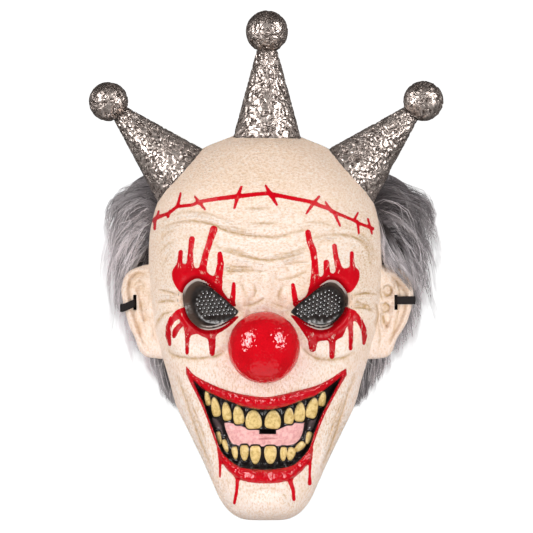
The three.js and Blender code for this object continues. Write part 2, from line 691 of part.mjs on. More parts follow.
// Hollow ball with a socket for the horn's peg
function hornBall(row) {
  const steps = 5;
  const { wall, sink } = BALL;
  const radius = row.ball;
  const socket = HORN.pegRadius + GAP;
  const centre = row.length + GAP + radius - sink;
  const seat = (r) => Math.asin(socket / r);
  const profile = [];
  for (let i = 0; i <= steps; i += 1) {
    const turn = (Math.PI - seat(radius - wall)) * i / steps;
    profile.push(new THREE.Vector2((radius - wall) * Math.sin(turn), (radius - wall) * Math.cos(turn)));
  }
  for (let i = steps; i >= 0; i -= 1) {
    const turn = (Math.PI - seat(radius)) * i / steps;
    profile.push(new THREE.Vector2(radius * Math.sin(turn), radius * Math.cos(turn)));
  }
  profile[0].x = 0;
  profile[profile.length - 1].x = 0;
  const ball = new THREE.LatheGeometry(profile, 10);
  ball.rotateX(Math.PI / 2);
  ball.translate(0, 0, centre);
  const tip = new THREE.CylinderGeometry(row.tip + GAP, row.tip + GAP, 2 * sink, 10);
  tip.rotateX(Math.PI / 2);
  tip.translate(0, 0, row.length + GAP - sink);
  return solidOf(ball).subtract(solidOf(tip));
}

// Middle line of half the strap: up through the slot, over the ear and round the head, as x, y and z
function strapLine(side) {
  const lift = GAP + 0.3 + STRAP.thickness / 2;
  const level = STRAP[side];
  const overEar = (x) => earDepthAt(x, SLOT.z, side) - lift;
  const edge = earReach(SLOT.z, side);
  const points = [
    [SLOT.x, overEar(SLOT.x) + WALL + 4.6, level],
    [SLOT.x, overEar(SLOT.x) + 1.6, level],
    [SLOT.x + 0.5, overEar(SLOT.x) + 0.2, level],
    [SLOT.x + 1.6, overEar(SLOT.x + 1.6), level],
    [SLOT.x + 4.5, overEar(SLOT.x + 4.5), level],
    [edge - 1, overEar(edge - 1), level],
    [edge + 0.9, overEar(edge) + 0.6, level],
    [edge + 1.6, overEar(edge) + 3, level],
    [edge + 1.4, overEar(edge) + 6, level],
  ];
  const loopSteps = 11;
  const start = points[points.length - 1][1] + 8;
  for (let i = 0; i <= loopSteps; i += 1) {
    const turn = Math.PI / 2 * i / loopSteps;
    const x = (edge + 0.4) * Math.cos(turn) ** 0.9;
    const y = start + (STRAP.reach - start) * Math.sin(turn);
    points.push([x, y, level + (STRAP.back - level) * Math.sin(turn) ** 2]);
  }
  return points;
}

// Flat band standing on edge along the strap's line
function headStrap() {
  const right = strapLine("right");
  const line = [...strapLine("left").map(([x, y, z]) => [-x, y, z]), ...right.slice(0, -1).reverse()];
  const rings = line.map(([x, y, z], i) => {
    const [ax, ay] = line[Math.max(i - 1, 0)];
    const [bx, by] = line[Math.min(i + 1, line.length - 1)];
    const length = Math.hypot(bx - ax, by - ay);
    const nx = -(by - ay) / length * STRAP.thickness / 2;
    const ny = (bx - ax) / length * STRAP.thickness / 2;
    const low = z - STRAP.width / 2;
    const high = z + STRAP.width / 2;
    return [
      new THREE.Vector3(x + nx, y + ny, low), new THREE.Vector3(x - nx, y - ny, low),
      new THREE.Vector3(x - nx, y - ny, high), new THREE.Vector3(x + nx, y + ny, high),
    ];
  });
  return tubeThrough(rings);
}

// Bar behind the ear that keeps the strap's end from pulling through the slot
function strapStop(side) {
  const end = strapLine(side)[0][1];
  return box(STOP.width, STOP.depth, STOP.height, SLOT.x, end + GAP + STOP.depth / 2, SLOT.z);
}

// Side hair on the right of the picture: a backing strip behind the face's edge with fused locks
function sideHair(side) {
  const spread = HAIR_SPREAD[side];
  const front = [];
  const back = [];
  for (let r = 0; r <= HAIR_BACKING.rows; r += 1) {
    const z = HAIR_BACKING.bottom + (HAIR_BACKING.top - HAIR_BACKING.bottom) * r / HAIR_BACKING.rows;
    const { halfWidth, rim } = sectionAtHeight(z);
    const near = rim + GAP + 0.2;
    const outer = halfWidth - 0.4;
    front.push([new THREE.Vector3(outer, near, z), new THREE.Vector3(outer, near + HAIR_BACKING.depth, z)]);
    back.push([
      new THREE.Vector3(outer - HAIR_BACKING.thickness, near, z),
      new THREE.Vector3(outer - HAIR_BACKING.thickness, near + HAIR_BACKING.depth, z),
    ]);
  }
  let hair = solidBetween(front, back);
  LOCKS.forEach((row) => {
    hair = hair.add(lock(row, spread));
  });
  const sag = 2;
  const room = STRAP.width + 4 * GAP + sag;
  const channel = box(12, 50, room, earReach(SLOT.z, side), 22, STRAP[side] - sag / 2);
  const horns = hornSpace(HORNS[2]).add(mirrored(hornSpace(HORNS[0])));
  return largestOf(hair.subtract(horns).subtract(channel));
}

function largestOf(solid) {
  return solid.decompose().reduce((a, b) => (a.volume() > b.volume() ? a : b));
}

// One lock: a tapered tube that swells out of the backing, bends over and hangs down the side
function lock({ z, reach, drop, lift, behind, thick }, spread) {
  const y = sectionAtHeight(z).rim + behind;
  const beside = (share, height, back) => new THREE.Vector3(
    sectionAtHeight(height).halfWidth - 2 + (2 + reach * spread) * share, y + back, height,
  );
  const curve = new THREE.CatmullRomCurve3([
    beside(0, z, 0), beside(0.4, z + lift - 0.1 * drop, 1), beside(0.85, z + lift - 0.45 * drop, 1),
    beside(0.95, z - drop, 0),
  ]);
  const steps = 4;
  const sides = 5;
  const rings = [];
  for (let i = 0; i <= steps; i += 1) {
    const share = i / steps;
    const p = curve.getPointAt(share);
    const ahead = curve.getTangentAt(share);
    const acrossY = new THREE.Vector3(0, 1, 0);
    const side = new THREE.Vector3().crossVectors(acrossY, ahead).normalize();
    const radius = thick * Math.sqrt(Math.max(1 - share ** 2, 0.02));
    rings.push(Array.from({ length: sides }, (_, k) => {
      const turn = 2 * Math.PI * k / sides;
      return p.clone().addScaledVector(side, radius * Math.cos(turn)).addScaledVector(acrossY,
        0.85 * radius * Math.sin(turn));
    }));
  }
  return tubeThrough(rings);
}

const mask = new THREE.Group();
mask.add(meshOf("face_shell", faceShell(), MATERIALS.skin));
mask.add(meshOf("mouth_insert", mouthInsert(), MATERIALS.mouth));
mask.add(meshOf("nose", nose(), MATERIALS.nose));
const leftEye = eyeInsert();
mask.add(meshOf("eye_insert_left", leftEye, MATERIALS.eye));
mask.add(meshOf("eye_insert_right", mirrored(leftEye), MATERIALS.eye));
HORNS.forEach((row) => {
  const group = new THREE.Group();
  group.position.set(row.x, row.y, row.z);
  group.rotation.y = THREE.MathUtils.degToRad(row.tilt);
  group.updateMatrix();
  group.add(meshOf(`horn_${row.side}`, horn(row, group), MATERIALS.silver));
  group.add(meshOf(`horn_ball_${row.side}`, hornBall(row), MATERIALS.silver));
  mask.add(group);
});
mask.add(meshOf("hair_right", sideHair("right"), MATERIALS.hair));
mask.add(meshOf("hair_left", mirrored(sideHair("left")), MATERIALS.hair));
mask.add(meshOf("head_strap", headStrap(), MATERIALS.strap));
mask.add(meshOf("strap_stop_right", strapStop("right"), MATERIALS.strap));
mask.add(meshOf("strap_stop_left", mirrored(strapStop("left")), MATERIALS.strap));

export default mask;
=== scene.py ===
import math
from types import SimpleNamespace

import bpy
import numpy as np
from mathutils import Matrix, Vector, noise
from mathutils.geometry import delaunay_2d_cdt


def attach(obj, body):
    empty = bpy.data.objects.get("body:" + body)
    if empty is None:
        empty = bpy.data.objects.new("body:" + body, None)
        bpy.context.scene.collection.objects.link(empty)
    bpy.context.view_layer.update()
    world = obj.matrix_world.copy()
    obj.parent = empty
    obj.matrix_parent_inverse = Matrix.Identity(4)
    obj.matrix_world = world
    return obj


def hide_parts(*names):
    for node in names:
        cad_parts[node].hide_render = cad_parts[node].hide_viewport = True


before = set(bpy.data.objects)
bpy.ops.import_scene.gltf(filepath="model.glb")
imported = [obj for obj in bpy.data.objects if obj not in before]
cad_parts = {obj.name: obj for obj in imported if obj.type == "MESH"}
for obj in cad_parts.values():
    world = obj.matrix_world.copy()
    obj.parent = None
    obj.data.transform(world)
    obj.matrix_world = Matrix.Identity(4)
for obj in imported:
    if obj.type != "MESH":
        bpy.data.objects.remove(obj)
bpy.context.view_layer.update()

# All lengths below are millimetres unless a name says otherwise
MM = 0.001
WALL = 2.2
RNG = np.random.default_rng(11)

# Where the picture is taken from: the lens looks along +Y at this height and side, from this far
VIEW_DISTANCE = 6000.0
VIEW_X = 0.7
VIEW_Z = 28.3
VIEW_WIDTH = 355.3

# Horizontal sections of the head: height, half width at the back edge, how far forward the
# middle reaches, where the back edge lies, and how square the section is
SECTIONS = np.array([
    (-139.8, 9.0, -31.5, -31.0, 2.0),
    (-139.5, 13.0, -46.0, -30.5, 2.0),
    (-138.0, 18.0, -57.0, -30.0, 2.1),
    (-134.0, 24.0, -65.0, -29.5, 2.2),
    (-126.5, 29.8, -69.0, -28.5, 2.2),
    (-115.0, 35.2, -69.0, -26.0, 2.2),
    (-100.0, 42.0, -68.0, -21.0, 2.2),
    (-82.0, 50.8, -68.0, -15.0, 2.2),
    (-64.0, 59.4, -70.0, -9.0, 2.2),
    (-46.0, 64.4, -69.0, -5.0, 2.2),
    (-30.0, 69.2, -66.0, -2.0, 2.3),
    (-10.0, 74.5, -64.0, 0.0, 2.3),
    (12.0, 77.0, -65.0, 0.0, 2.3),
    (34.0, 77.8, -68.0, 1.0, 2.3),
    (54.0, 76.5, -68.0, 3.0, 2.35),
    (76.0, 70.0, -63.5, 5.0, 2.5),
    (88.0, 61.5, -58.0, 7.0, 2.6),
    (98.0, 52.5, -51.5, 9.0, 2.6),
    (107.0, 42.0, -43.0, 11.0, 2.5),
    (112.5, 29.5, -33.0, 13.0, 2.3),
    (115.4, 22.0, -18.0, 14.0, 2.1),
    (116.0, 19.5, 13.4, 14.0, 2.0),
])

# Folds of the face: width, height, whether both sides have it, and its path seen from the front
FOLDS = [
    (7.0, 5.0, True, [(-59, 15), (-55, 26), (-46, 30.5), (-36, 26), (-27, 18), (-18, 8)]),
    (8.0, 4.5, True, [(-65, -13), (-58, -21), (-47, -25.5), (-36, -25), (-27, -20)]),
    (2.6, -1.8, True, [(-67, -25), (-60, -31.5), (-47, -34.5), (-34, -32.5), (-26.5, -27.5)]),
    (9.0, 4.0, False, [(-1, 16), (-1, -8)]),
    (2.4, -1.6, True, [(-5, 21), (-5.5, 12), (-10, 5)]),
    (13.0, 3.0, True, [(-52, -38), (-36, -42)]),
    (3.0, 1.2, True, [(-58, -50), (-49, -72), (-39, -96), (-33, -112)]),
    (13.0, 4.0, False, [(-8, -125), (8, -125)]),
    (3.2, 1.1, False, [(-66, 60), (-42, 61), (-20, 53), (0, 50), (20, 54), (42, 61), (66, 60)]),
    (3.2, 1.2, False, [(-50, 50), (-34, 51), (-16, 43), (0, 40.5), (16, 44), (34, 52), (50, 50)]),
    (3.2, 1.2, False, [(-30, 41), (-14, 34), (0, 31.5), (14, 35), (30, 42)]),
]
# How far lips, eyelids and paint stand out, and how far the edges of mouth and eyes turn in
LIP_SWELL, LID_RISE, PAINT_RISE, MOUTH_TURN_IN, EYE_TURN_IN = 3.6, 1.6, 0.4, 9.5, 3.2
SOCKET_X, SOCKET_Z, SOCKET_HALF_WIDTH, SOCKET_HALF_HEIGHT, SOCKET_DEPTH = 35, 2.5, 23, 18, 6

# Wrinkles: how dark the line is, how deep the dent is, and its path
CREASES = [
    (0.7, 0.4, [(-13.3, 67.4), (-5, 66.9), (3.5, 67.9)]),
    (0.45, 0.4, [(-65.7, 61.1), (-56.2, 64.3), (-46.8, 65), (-38.4, 63.8), (-31, 61.1), (-20, 58.4)]),
    (0.7, 0.4, [(-11, 57.4), (-1.3, 57.1), (9, 57.9)]),
    (0.45, 0.3, [(22, 56.5), (34, 58), (46, 55)]),
    (0.9, 0.8, [(-69.8, 53.9), (-61.4, 57), (-54.1, 58.3), (-45.8, 58.5), (-38.4, 57.2), (-33.2, 55.6),
                (-25.9, 52.1), (-17.5, 50), (-7, 48.4), (3.5, 47.9), (10.8, 48.6), (20.2, 51.3), (31, 54)]),
    (0.5, 0.3, [(-29, 56.2), (-20, 54), (-9, 52)]),
    (0.7, 0.6, [(30.7, 46.6), (38, 48.6), (45.3, 49.7), (53.7, 49.2), (60, 47.6), (66.3, 43), (69.4, 35.6),
                (70.5, 27)]),
    (0.45, 0.3, [(34, 43), (40, 45.2), (47, 45.8)]),
    (0.45, 0.3, [(62, 52), (70, 44), (73.4, 32)]),
    (0.9, 0.8, [(-35, 43), (-28, 39.3), (-21.7, 37.2), (-15.4, 35.4), (-8, 33.8), (-0.7, 32.7), (6.6, 32.9),
                (13.9, 34.1), (20.2, 35.9), (26.5, 38.2)]),
    (0.65, 0.4, [(-26, 41), (-19, 38.8), (-12, 37)]),
    (0.6, 0.4, [(4, 35.6), (13.9, 36.9), (20.2, 38.6), (27, 41.2)]),
    (0.8, 0.5, [(-26.5, 29.6), (-21.7, 28.3), (-15.4, 27.8), (-8, 27.8)]),
    (0.8, 0.6, [(-28.5, 26.5), (-23.8, 25), (-17.5, 25.3), (-9, 25.4), (0.5, 25)]),
    (0.6, 0.4, [(12, 29.6), (20.2, 30.9), (28.5, 31.6)]),
    (0.6, 0.4, [(9.5, 19.8), (18.1, 21), (22.3, 22.6), (28.6, 26)]),
    (0.5, 0.3, [(-71, 46), (-66, 50.5), (-59, 53)]),
    (0.5, 0.3, [(-70, 38), (-65.5, 43), (-58, 46.2)]),
    (0.4, 0.3, [(-69, 28), (-66, 34), (-61, 39)]),
    (0.6, 0.5, [(-17.4, 19), (-14.3, 12.5), (-12.5, 7)]),
    (0.5, 0.4, [(-8, 17.3), (-6.7, 11), (-8, 7)]),
    (0.6, 0.5, [(12.5, 17), (9.5, 11.5), (8.5, 6.5)]),
    (0.9, 0.6, [(-15.5, 2), (-9.1, 2.6), (-3.9, 5), (-0.3, 7.6)]),
    (0.6, 0.4, [(2.5, 4.4), (8.7, 2.2), (14.2, 0.4)]),
    (0.95, 0.5, [(-59, 9.3), (-65, 11.5), (-71, 13)]),
    (0.95, 0.5, [(-59.5, 5), (-66, 5.4), (-72.5, 4)]),
    (1.0, 0.5, [(59, 8.6), (66, 10.4), (74.5, 9.6)]),
    (1.0, 0.5, [(59.5, 5.8), (64.8, 2.8), (69.5, 1.6)]),
    (1.0, 0.5, [(58.5, 0.6), (66.3, 0.7), (72, -1.5)]),
    (0.95, 0.6, [(-73.5, -13), (-71.4, -7.8), (-68, -3.6), (-62.5, -1.8)]),
    (0.95, 0.6, [(73.5, 4), (75, -4), (73, -12)]),
    (0.8, 0.6, [(-65.5, -25.5), (-61.5, -30.7), (-48.9, -33.2), (-35.3, -32), (-27, -28.5)]),
    (0.8, 0.6, [(24.5, -25.6), (29.6, -30.7), (38, -33.9), (50.6, -33), (60, -28.5)]),
    (0.75, 0.9, [(-59.7, -42), (-53, -60.7), (-43.7, -87.3), (-35, -107.3)]),
    (0.6, 0.7, [(-53, -54), (-45, -74), (-38.3, -94)]),
    (0.75, 0.9, [(60.3, -42), (53.7, -60.7), (45, -87.3), (37, -107.3)]),
    (0.6, 0.7, [(53.7, -55.3), (45.7, -75.3), (39.7, -94)]),
    (0.4, 0.5, [(-14, -121.5), (0, -119.5), (14, -121.5)]),
    (0.6, 0.5, [(-91, 14), (-89.7, 20), (-85, 24), (-80.3, 23.3)]),
    (0.6, 0.5, [(-88.3, 12.7), (-85.7, 18), (-82, 18), (-81, 14)]),
    (0.6, 0.5, [(-83.7, 7.3), (-82.6, 0.7), (-79.7, -3.3), (-80.3, -8.7)]),
    (0.5, 0.4, [(-78.3, 12.7), (-77.4, 7.3), (-78.3, 2)]),
    (0.45, 0.4, [(-85, -8.7), (-81.7, -20.7), (-77, -27.3)]),
    (0.45, 0.4, [(-77, -6), (-74.3, -16.7), (-71, -24.7)]),
    (1.0, 0.6, [(78.2, 12.5), (79.5, 15), (82.3, 15), (83.8, 12.5), (82.8, 9.6), (80, 9.2), (78.2, 12.5)]),
    (1.0, 0.6, [(77.2, 1), (78.5, 3.2), (81, 3.2), (82.2, 0.8), (81, -1.8), (78.6, -1.8), (77.2, 1)]),
    (0.9, 0.5, [(77, 14.5), (76.6, 10), (78.3, 5)]),
    (0.7, 0.5, [(87, 20.7), (89, 12.7), (88.3, -0.7), (85.7, -14), (83, -22)]),
    (0.8, 0.5, [(78.4, -4), (79, -8.7), (81, -12.5)]),
    (0.7, 0.5, [(74.3, -8.7), (76.3, -18), (75, -26)]),
]
# Dark specks beside the outer corners of the eyes: x, z and half width along each
SPECKS = [
    [(-57.7, 11.8, 0.2), (-57.9, 8.8, 0.3)], [(-58.4, 6.8, 0.25), (-58.2, 4.6, 0.3)],
    [(-57.8, 3.4, 0.2), (-57.6, 1.9, 0.2)],
    [(57.5, 9.6, 0.25), (57.7, 6.2, 0.25)], [(57.4, 2.2, 0.2), (57.8, -0.4, 0.3)],
]

# Speckled places: middle x and z, half width, half height and how dense
SPECKLED = [(46, -74, 8, 22, 0.55), (-46, -78, 7, 24, 0.22), (13.5, -123, 4, 7, 0.5), (-9, -121, 5, 5, 0.35),
            (66, 26, 7, 22, 0.3), (-67, 36, 6, 20, 0.3), (66, 2, 8, 9, 0.45), (-66, 2, 7, 9, 0.3),
            (0, 95, 40, 16, 0.22), (70, -20, 5, 14, 0.3), (-22, 27, 8, 5, 0.3), (20, 21, 8, 4, 0.3),
            (-50, -32, 12, 4, 0.3), (48, -32, 12, 4, 0.35), (56, 58, 14, 9, 0.3), (68, 40, 6, 14, 0.3)]
# How dense the speckles are everywhere else
PLAIN_SPECKLE = 0.12

# Swellings painted paler, as painted highlight: middle x and z, half width, half height and how pale
HIGHLIGHT_PLACES = [(-53, 34, 12, 9, 0.7), (52, 34, 12, 9, 0.7), (-47, -26, 14, 6, 0.8), (46, -27, 14, 6, 0.8),
               (0, 20, 14, 9, 0.5), (-36, -42, 14, 6, 0.5), (36, -42, 14, 6, 0.5), (0, -127, 26, 9, 0.8),
               (-44, -92, 8, 22, 0.6), (44, -96, 8, 18, 0.5), (0, 60, 36, 6, 0.4), (-12, 42, 24, 4, 0.5)]

# Eye openings and grin, as outlines seen from the front
EYE_LEFT = [(-16.3, -1.3), (-21.7, 3.7), (-29, 10), (-36, 15.7), (-40.3, 18.7), (-45.7, 20.3), (-50.3, 18.3),
            (-53.7, 14.7), (-55.3, 10), (-54.7, 2.7), (-52, -5), (-48.3, -9.7), (-43, -13.3), (-36, -14.2),
            (-29, -12.3), (-22.3, -8), (-18.3, -4.7)]
EYE_RIGHT = [(15, -2), (20.3, 3.7), (27, 9), (33.7, 14.3), (37.7, 17.1), (42.3, 19.5), (47.7, 18.7),
             (52.3, 14.3), (55, 9.3), (55.2, 3.3), (52.7, -3.3), (48, -9), (42.3, -13), (35.7, -14),
             (29, -11.8), (22.3, -7.5), (17, -4)]
LIP_OUTER_TOP = [(-53, -37.7), (-47.9, -43.6), (-41.7, -47.3), (-32.3, -51.7), (-22.5, -55.1), (-13, -57.3),
                 (0.3, -58.7), (11, -57), (20.3, -54.7), (33, -51.3), (42.3, -47), (48.3, -43), (54, -39.3)]
LIP_OUTER_LOW = [(54.3, -44), (50.1, -51), (44.3, -61.3), (38.9, -72.3), (34.3, -83.7), (31, -94.3),
                 (30.3, -100), (25.3, -107), (18.7, -112.7), (11, -115.5), (0.3, -116.4), (-11, -115.5),
                 (-19, -112.7), (-25.7, -107), (-29.7, -100.9), (-31.3, -95.3), (-36, -82),
                 (-40, -70.7), (-44.7, -60), (-50, -49.7), (-53, -43.3)]
MOUTH_TOP = [(-49.3, -45.7), (-41.7, -52.7), (-32.3, -57.7), (-22.5, -61.7), (-13, -65.1), (0.3, -66.7),
             (12.8, -64.7), (25, -60.3), (34.8, -56.5), (44.3, -49.7), (51.7, -43.7)]
MOUTH_LOW = [(-49.3, -45.7), (-46.5, -52.6), (-41.6, -63.3), (-37.9, -73.6), (-33.9, -84), (-30.3, -94.3),
             (-25.4, -100), (-19.7, -104.3), (-13, -106.7), (0.3, -107.6), (12.8, -106.2), (19.5, -103.8),
             (25, -99), (29.9, -92.3), (33.8, -80.3), (38.8, -68.8), (45.7, -55.6), (51.7, -43.7)]

# Red paint round the eyes: closed patches, then drips as strokes of x, z and half width
RED_PATCHES = [
    [(-55.9, 10.7), (-59.7, 14.7), (-62.1, 20), (-62.3, 24.7), (-60.3, 28.3), (-57, 29.3), (-54.3, 29.7),
     (-50.3, 28.7), (-46.1, 27), (-41.7, 26.3), (-37, 23), (-33, 20.3), (-29.3, 17.7), (-28.3, 12),
     (-23.7, 5.5), (-19.7, 2), (-35.7, 8.7), (-50.3, 11.3)],
    [(55.7, 10.7), (59.4, 13.7), (62.3, 19.3), (62.8, 24.3), (61, 27), (57, 27.3), (52.7, 27), (49, 25.7),
     (45.5, 23.7), (41, 23.3), (36.2, 21), (32.3, 21.3), (30.1, 18.7), (27.7, 10), (25, 6.9), (19.7, 2.7),
     (35, 8), (49.7, 10.7)],
    [(-54, -0.3), (-57, -6.7), (-54.3, -12), (-51.7, -17.3), (-48.3, -17.1), (-45, -16.9), (-40.3, -19.1),
     (-36.3, -19.3), (-33.7, -17.3), (-29, -15), (-23, -10.7), (-17.7, -5), (-23.7, -6), (-35.7, -11.3),
     (-45, -8.7)],
    [(54.3, -0.3), (56.3, -5.3), (53.7, -12.7), (51.7, -18), (48.3, -20), (43, -20.7), (37.7, -21.3),
     (33, -21.3), (27.7, -19), (23, -12.7), (19, -7.3), (16.8, -4), (25, -6), (36.3, -11.3), (46.3, -7.3)],
]
EYE_DRIPS = [
    [(-56.5, 38, 1.07), (-57.3, 28.7, 1.5)],
    [(-49, 46.7, 1.53), (-50, 38, 1.33), (-50.3, 28, 2.17)],
    [(-34.5, 53, 2.2), (-37, 45.3, 1.67), (-40, 36, 1.67), (-42, 26, 2.17)],
    [(-30.5, 36.7, 1.2), (-29.9, 30, 1.93), (-31.7, 18.7, 2.5)],
    [(-21.1, 16.7, 0.9), (-21.4, 10, 1.27), (-22.1, 3.3, 1.33)],
    [(57.5, 37.3, 0.9), (58, 26, 1.4)],
    [(45.9, 42, 1.2), (47, 34.7, 1.33), (49.3, 25.3, 2)],
    [(40.6, 31, 1.53), (41, 22.7, 1.83)],
    [(28.3, 51, 1.53), (29.3, 45.3, 1.67), (31.7, 39.3, 1.8), (32.9, 31.3, 1.73), (33, 20, 2.33)],
    [(18.3, 16, 0.9), (19.2, 10, 1.4), (20.3, 3.3, 1.47)],
    [(-53, -0.3, 1.5), (-57.7, -3, 2.33), (-62.3, -7, 1.87), (-64.6, -12, 1.47), (-64.9, -18, 1.4),
     (-63.8, -23.7, 0.67)],
    [(-57.3, -11.3, 1.33), (-60, -14.7, 1.53), (-61, -18.3, 0.87)],
    [(-52, -14, 1.33), (-52.1, -22.7, 1), (-52.3, -29.3, 0.8)],
    [(-35.9, -16, 2.33), (-35.5, -24, 1.87), (-35.5, -29.7, 1.33)],
    [(53, -0.3, 1.5), (58.3, -3.3, 2.33), (63, -8.3, 1.67), (65.4, -13.3, 1.47), (66.1, -18, 1.33),
     (65.6, -23, 0.67)],
    [(56.7, -7.3, 1.33), (57, -17.3, 1.2), (56.8, -26.3, 0.93)],
    [(44.7, -16.7, 2), (44.5, -24.7, 1.67), (44.3, -31.7, 1.33)],
    [(31.4, -16.7, 3), (31.4, -23.3, 2.53), (31.4, -26.3, 2)],
]
MOUTH_DRIPS = [
    [(-30.1, -94, 1.33), (-30.3, -102, 0.67), (-30.3, -112, 0.33)],
    [(-18.7, -110, 1.33), (-18.7, -115.3, 0.93), (-19.2, -121.3, 0.8), (-20.7, -129.3, 0.73)],
    [(15.7, -110, 2), (16.7, -115.3, 1.27), (18.5, -120.7, 0.93), (19, -127, 0.8)],
    [(29.9, -94, 1.33), (29.7, -104, 0.6), (29.5, -111.3, 0.6), (29.5, -116.3, 1.07)],
]
SCAR = [
    [(-74.7, 59, 1), (-72.3, 61, 1.13), (-64.6, 63.7, 0.87), (-58.8, 68.3, 0.93), (-49, 69.3, 0.93),
     (-43.7, 71.6, 1), (-31.7, 73.5, 1.2), (-20.3, 74.9, 1.33), (-3, 76.8, 1.13), (1.7, 77.1, 1.13),
     (5.7, 76.2, 1.27), (17, 74, 1.13), (29.7, 71.6, 1.13), (36.3, 68.9, 1.13), (42.3, 66.7, 1),
     (45.7, 64.5, 1), (50.3, 62.7, 0.87), (58.3, 59.3, 0.8), (62.3, 57.1, 0.8), (71.7, 53.6, 0.87)],
    [(-71.2, 65.3, 0.47), (-72.1, 61, 0.87)],
    [(-73.7, 59.7, 0.93), (-73.9, 53.3, 0.73)],
    [(-63.8, 65.6, 0.4), (-65, 61.3, 0.67)],
    [(-56.5, 77.3, 0.47), (-58.3, 69.7, 0.93)],
    [(-47.1, 75, 0.53), (-44, 70.7, 1), (-40.3, 66.3, 0.53)],
    [(-16.1, 81.3, 0.73), (-18.7, 74.7, 1.2), (-20.7, 67.1, 0.6)],
    [(0.1, 82.3, 0.53), (3.7, 76, 1.33), (7.7, 69.3, 0.6)],
    [(35.8, 75, 0.6), (31.7, 70, 1), (27.3, 63.7, 0.53)],
    [(40, 71.3, 0.47), (44, 65, 0.87)],
    [(45.7, 64.3, 1), (49.8, 55.3, 0.47)],
    [(61.7, 64.3, 0.4), (59.7, 60.3, 0.67)],
    [(61.3, 58.3, 0.8), (62.3, 50.4, 0.53)],
    [(68.3, 60, 0.53), (71, 50.3, 0.53)],
]

# Teeth: middle x and z, half width, half height, lean in degrees
TEETH = [
    (-38.7, -59.3, 1.9, 5.2, -8), (-33.3, -65.3, 2.9, 6.6, -10), (-26, -68.3, 3, 6.3, -8),
    (-18, -70.7, 3.6, 6.2, -8), (-8, -73.7, 5.4, 6.3, -4), (5, -73.7, 5.3, 6.2, 4),
    (15.7, -71.3, 3.2, 5.5, 3), (23, -68.7, 3.6, 6.5, 5), (31.3, -66, 3.8, 7, 14), (38, -60, 2.5, 5, 10),
    (-31, -86, 1.7, 4.5, -10), (-26.7, -91.3, 1.8, 4.6, -18), (-20.3, -96, 2, 4.4, -8),
    (-14, -96, 2.8, 5.3, -2), (-6.7, -97.3, 3.6, 6.2, 0), (3.3, -97.3, 4.1, 6.1, 0), (12, -96.7, 2.3, 4.8, 3),
    (17, -96.7, 2.8, 4.5, 14), (22.7, -92, 2.4, 4.4, 48), (28.7, -86, 2, 4.4, 14),
]
UPPER_TEETH = 10
TONGUE = [(-27, -75.5), (-26.6, -80), (-25, -84), (-23.5, -87.5), (-20.5, -90.5), (-10, -91.5), (3, -91.5),
          (14, -91), (19.5, -89.7), (22.5, -87), (24.5, -83), (25.5, -78), (25.5, -74.5), (20, -76),
          (15, -77.6), (9, -80), (5, -80.6), (-8, -80.6), (-13, -79.2), (-18, -77.5), (-23, -76)]
SLOT_X, SLOT_Z, SLOT_HALF_WIDTH, SLOT_HALF_HEIGHT, SLOT_DEPTH = 1.5, -81.9, 5.6, 1.5, 5.0
MOUTH_DEPTH, MOUTH_FLOOR, MOUTH_MARGIN, MOUTH_BACK_STEP = 6.5, 2.6, 1.6, 5
TOOTH_RISE, GUM_RISE, TONGUE_RISE = 2.3, 1.3, 1.6
# Paler insides of the cheeks between the rows of teeth: x, z and half width along each
CHEEKS_INSIDE = [[(-34.2, -73.5, 1.2), (-31, -79, 1.6), (-29.6, -83, 0.9)],
                 [(33, -71.5, 1.2), (30.6, -77.5, 1.7), (28.8, -82, 0.9)]]

NOSE_X, NOSE_Y, NOSE_Z, NOSE_RADIUS = -1.0, -75.0, -25.0, 23.8
HORN_BASE, HORN_WALL, HORN_SINK, BALL_SINK = 22.6, 1.8, 0.9, 1.8
# Angle from a ball's lowest point that is left open over the horn
BALL_OPEN = 0.25
# Horns: side, foot x, y, z, length, tilt in degrees, radius of the tip and of the ball
HORNS = [("left", -57, -3, 90, 56.2, -44.6, 5.8, 13), ("centre", 1, -7, 113, 59.2, 0, 6.6, 14),
         ("right", 57.5, -3, 90.2, 56.2, 44.6, 5.9, 13.3)]

# Ears: height, then how far the left and the right ear reach from the middle of the head
EAR = np.array([(-33.3, 71, 74), (-32, 79, 81), (-28, 83.7, 84.6), (-20, 86.8, 87.6), (-10, 91.2, 93.8),
                (2, 94.4, 97.6), (10.7, 96, 98.6), (16, 95.6, 97.6), (23, 93, 94.4), (27, 87.5, 88.5),
                (29.5, 80, 81)])
EAR_ROOT_Y, EAR_EDGE_Y, EAR_ROOT_DEPTH = -12.8, 2, 2.8
EAR_THIN, EAR_SWELL, EAR_ROLL, EAR_HOLLOW, LOBE_SWELL = 0.5, 2.6, 1.6, 2.4, 1.6
EAR_SLOT_X, EAR_SLOT_Z, EAR_SLOT_WIDTH, EAR_SLOT_HEIGHT = 87, 4.4, 2.2, 10
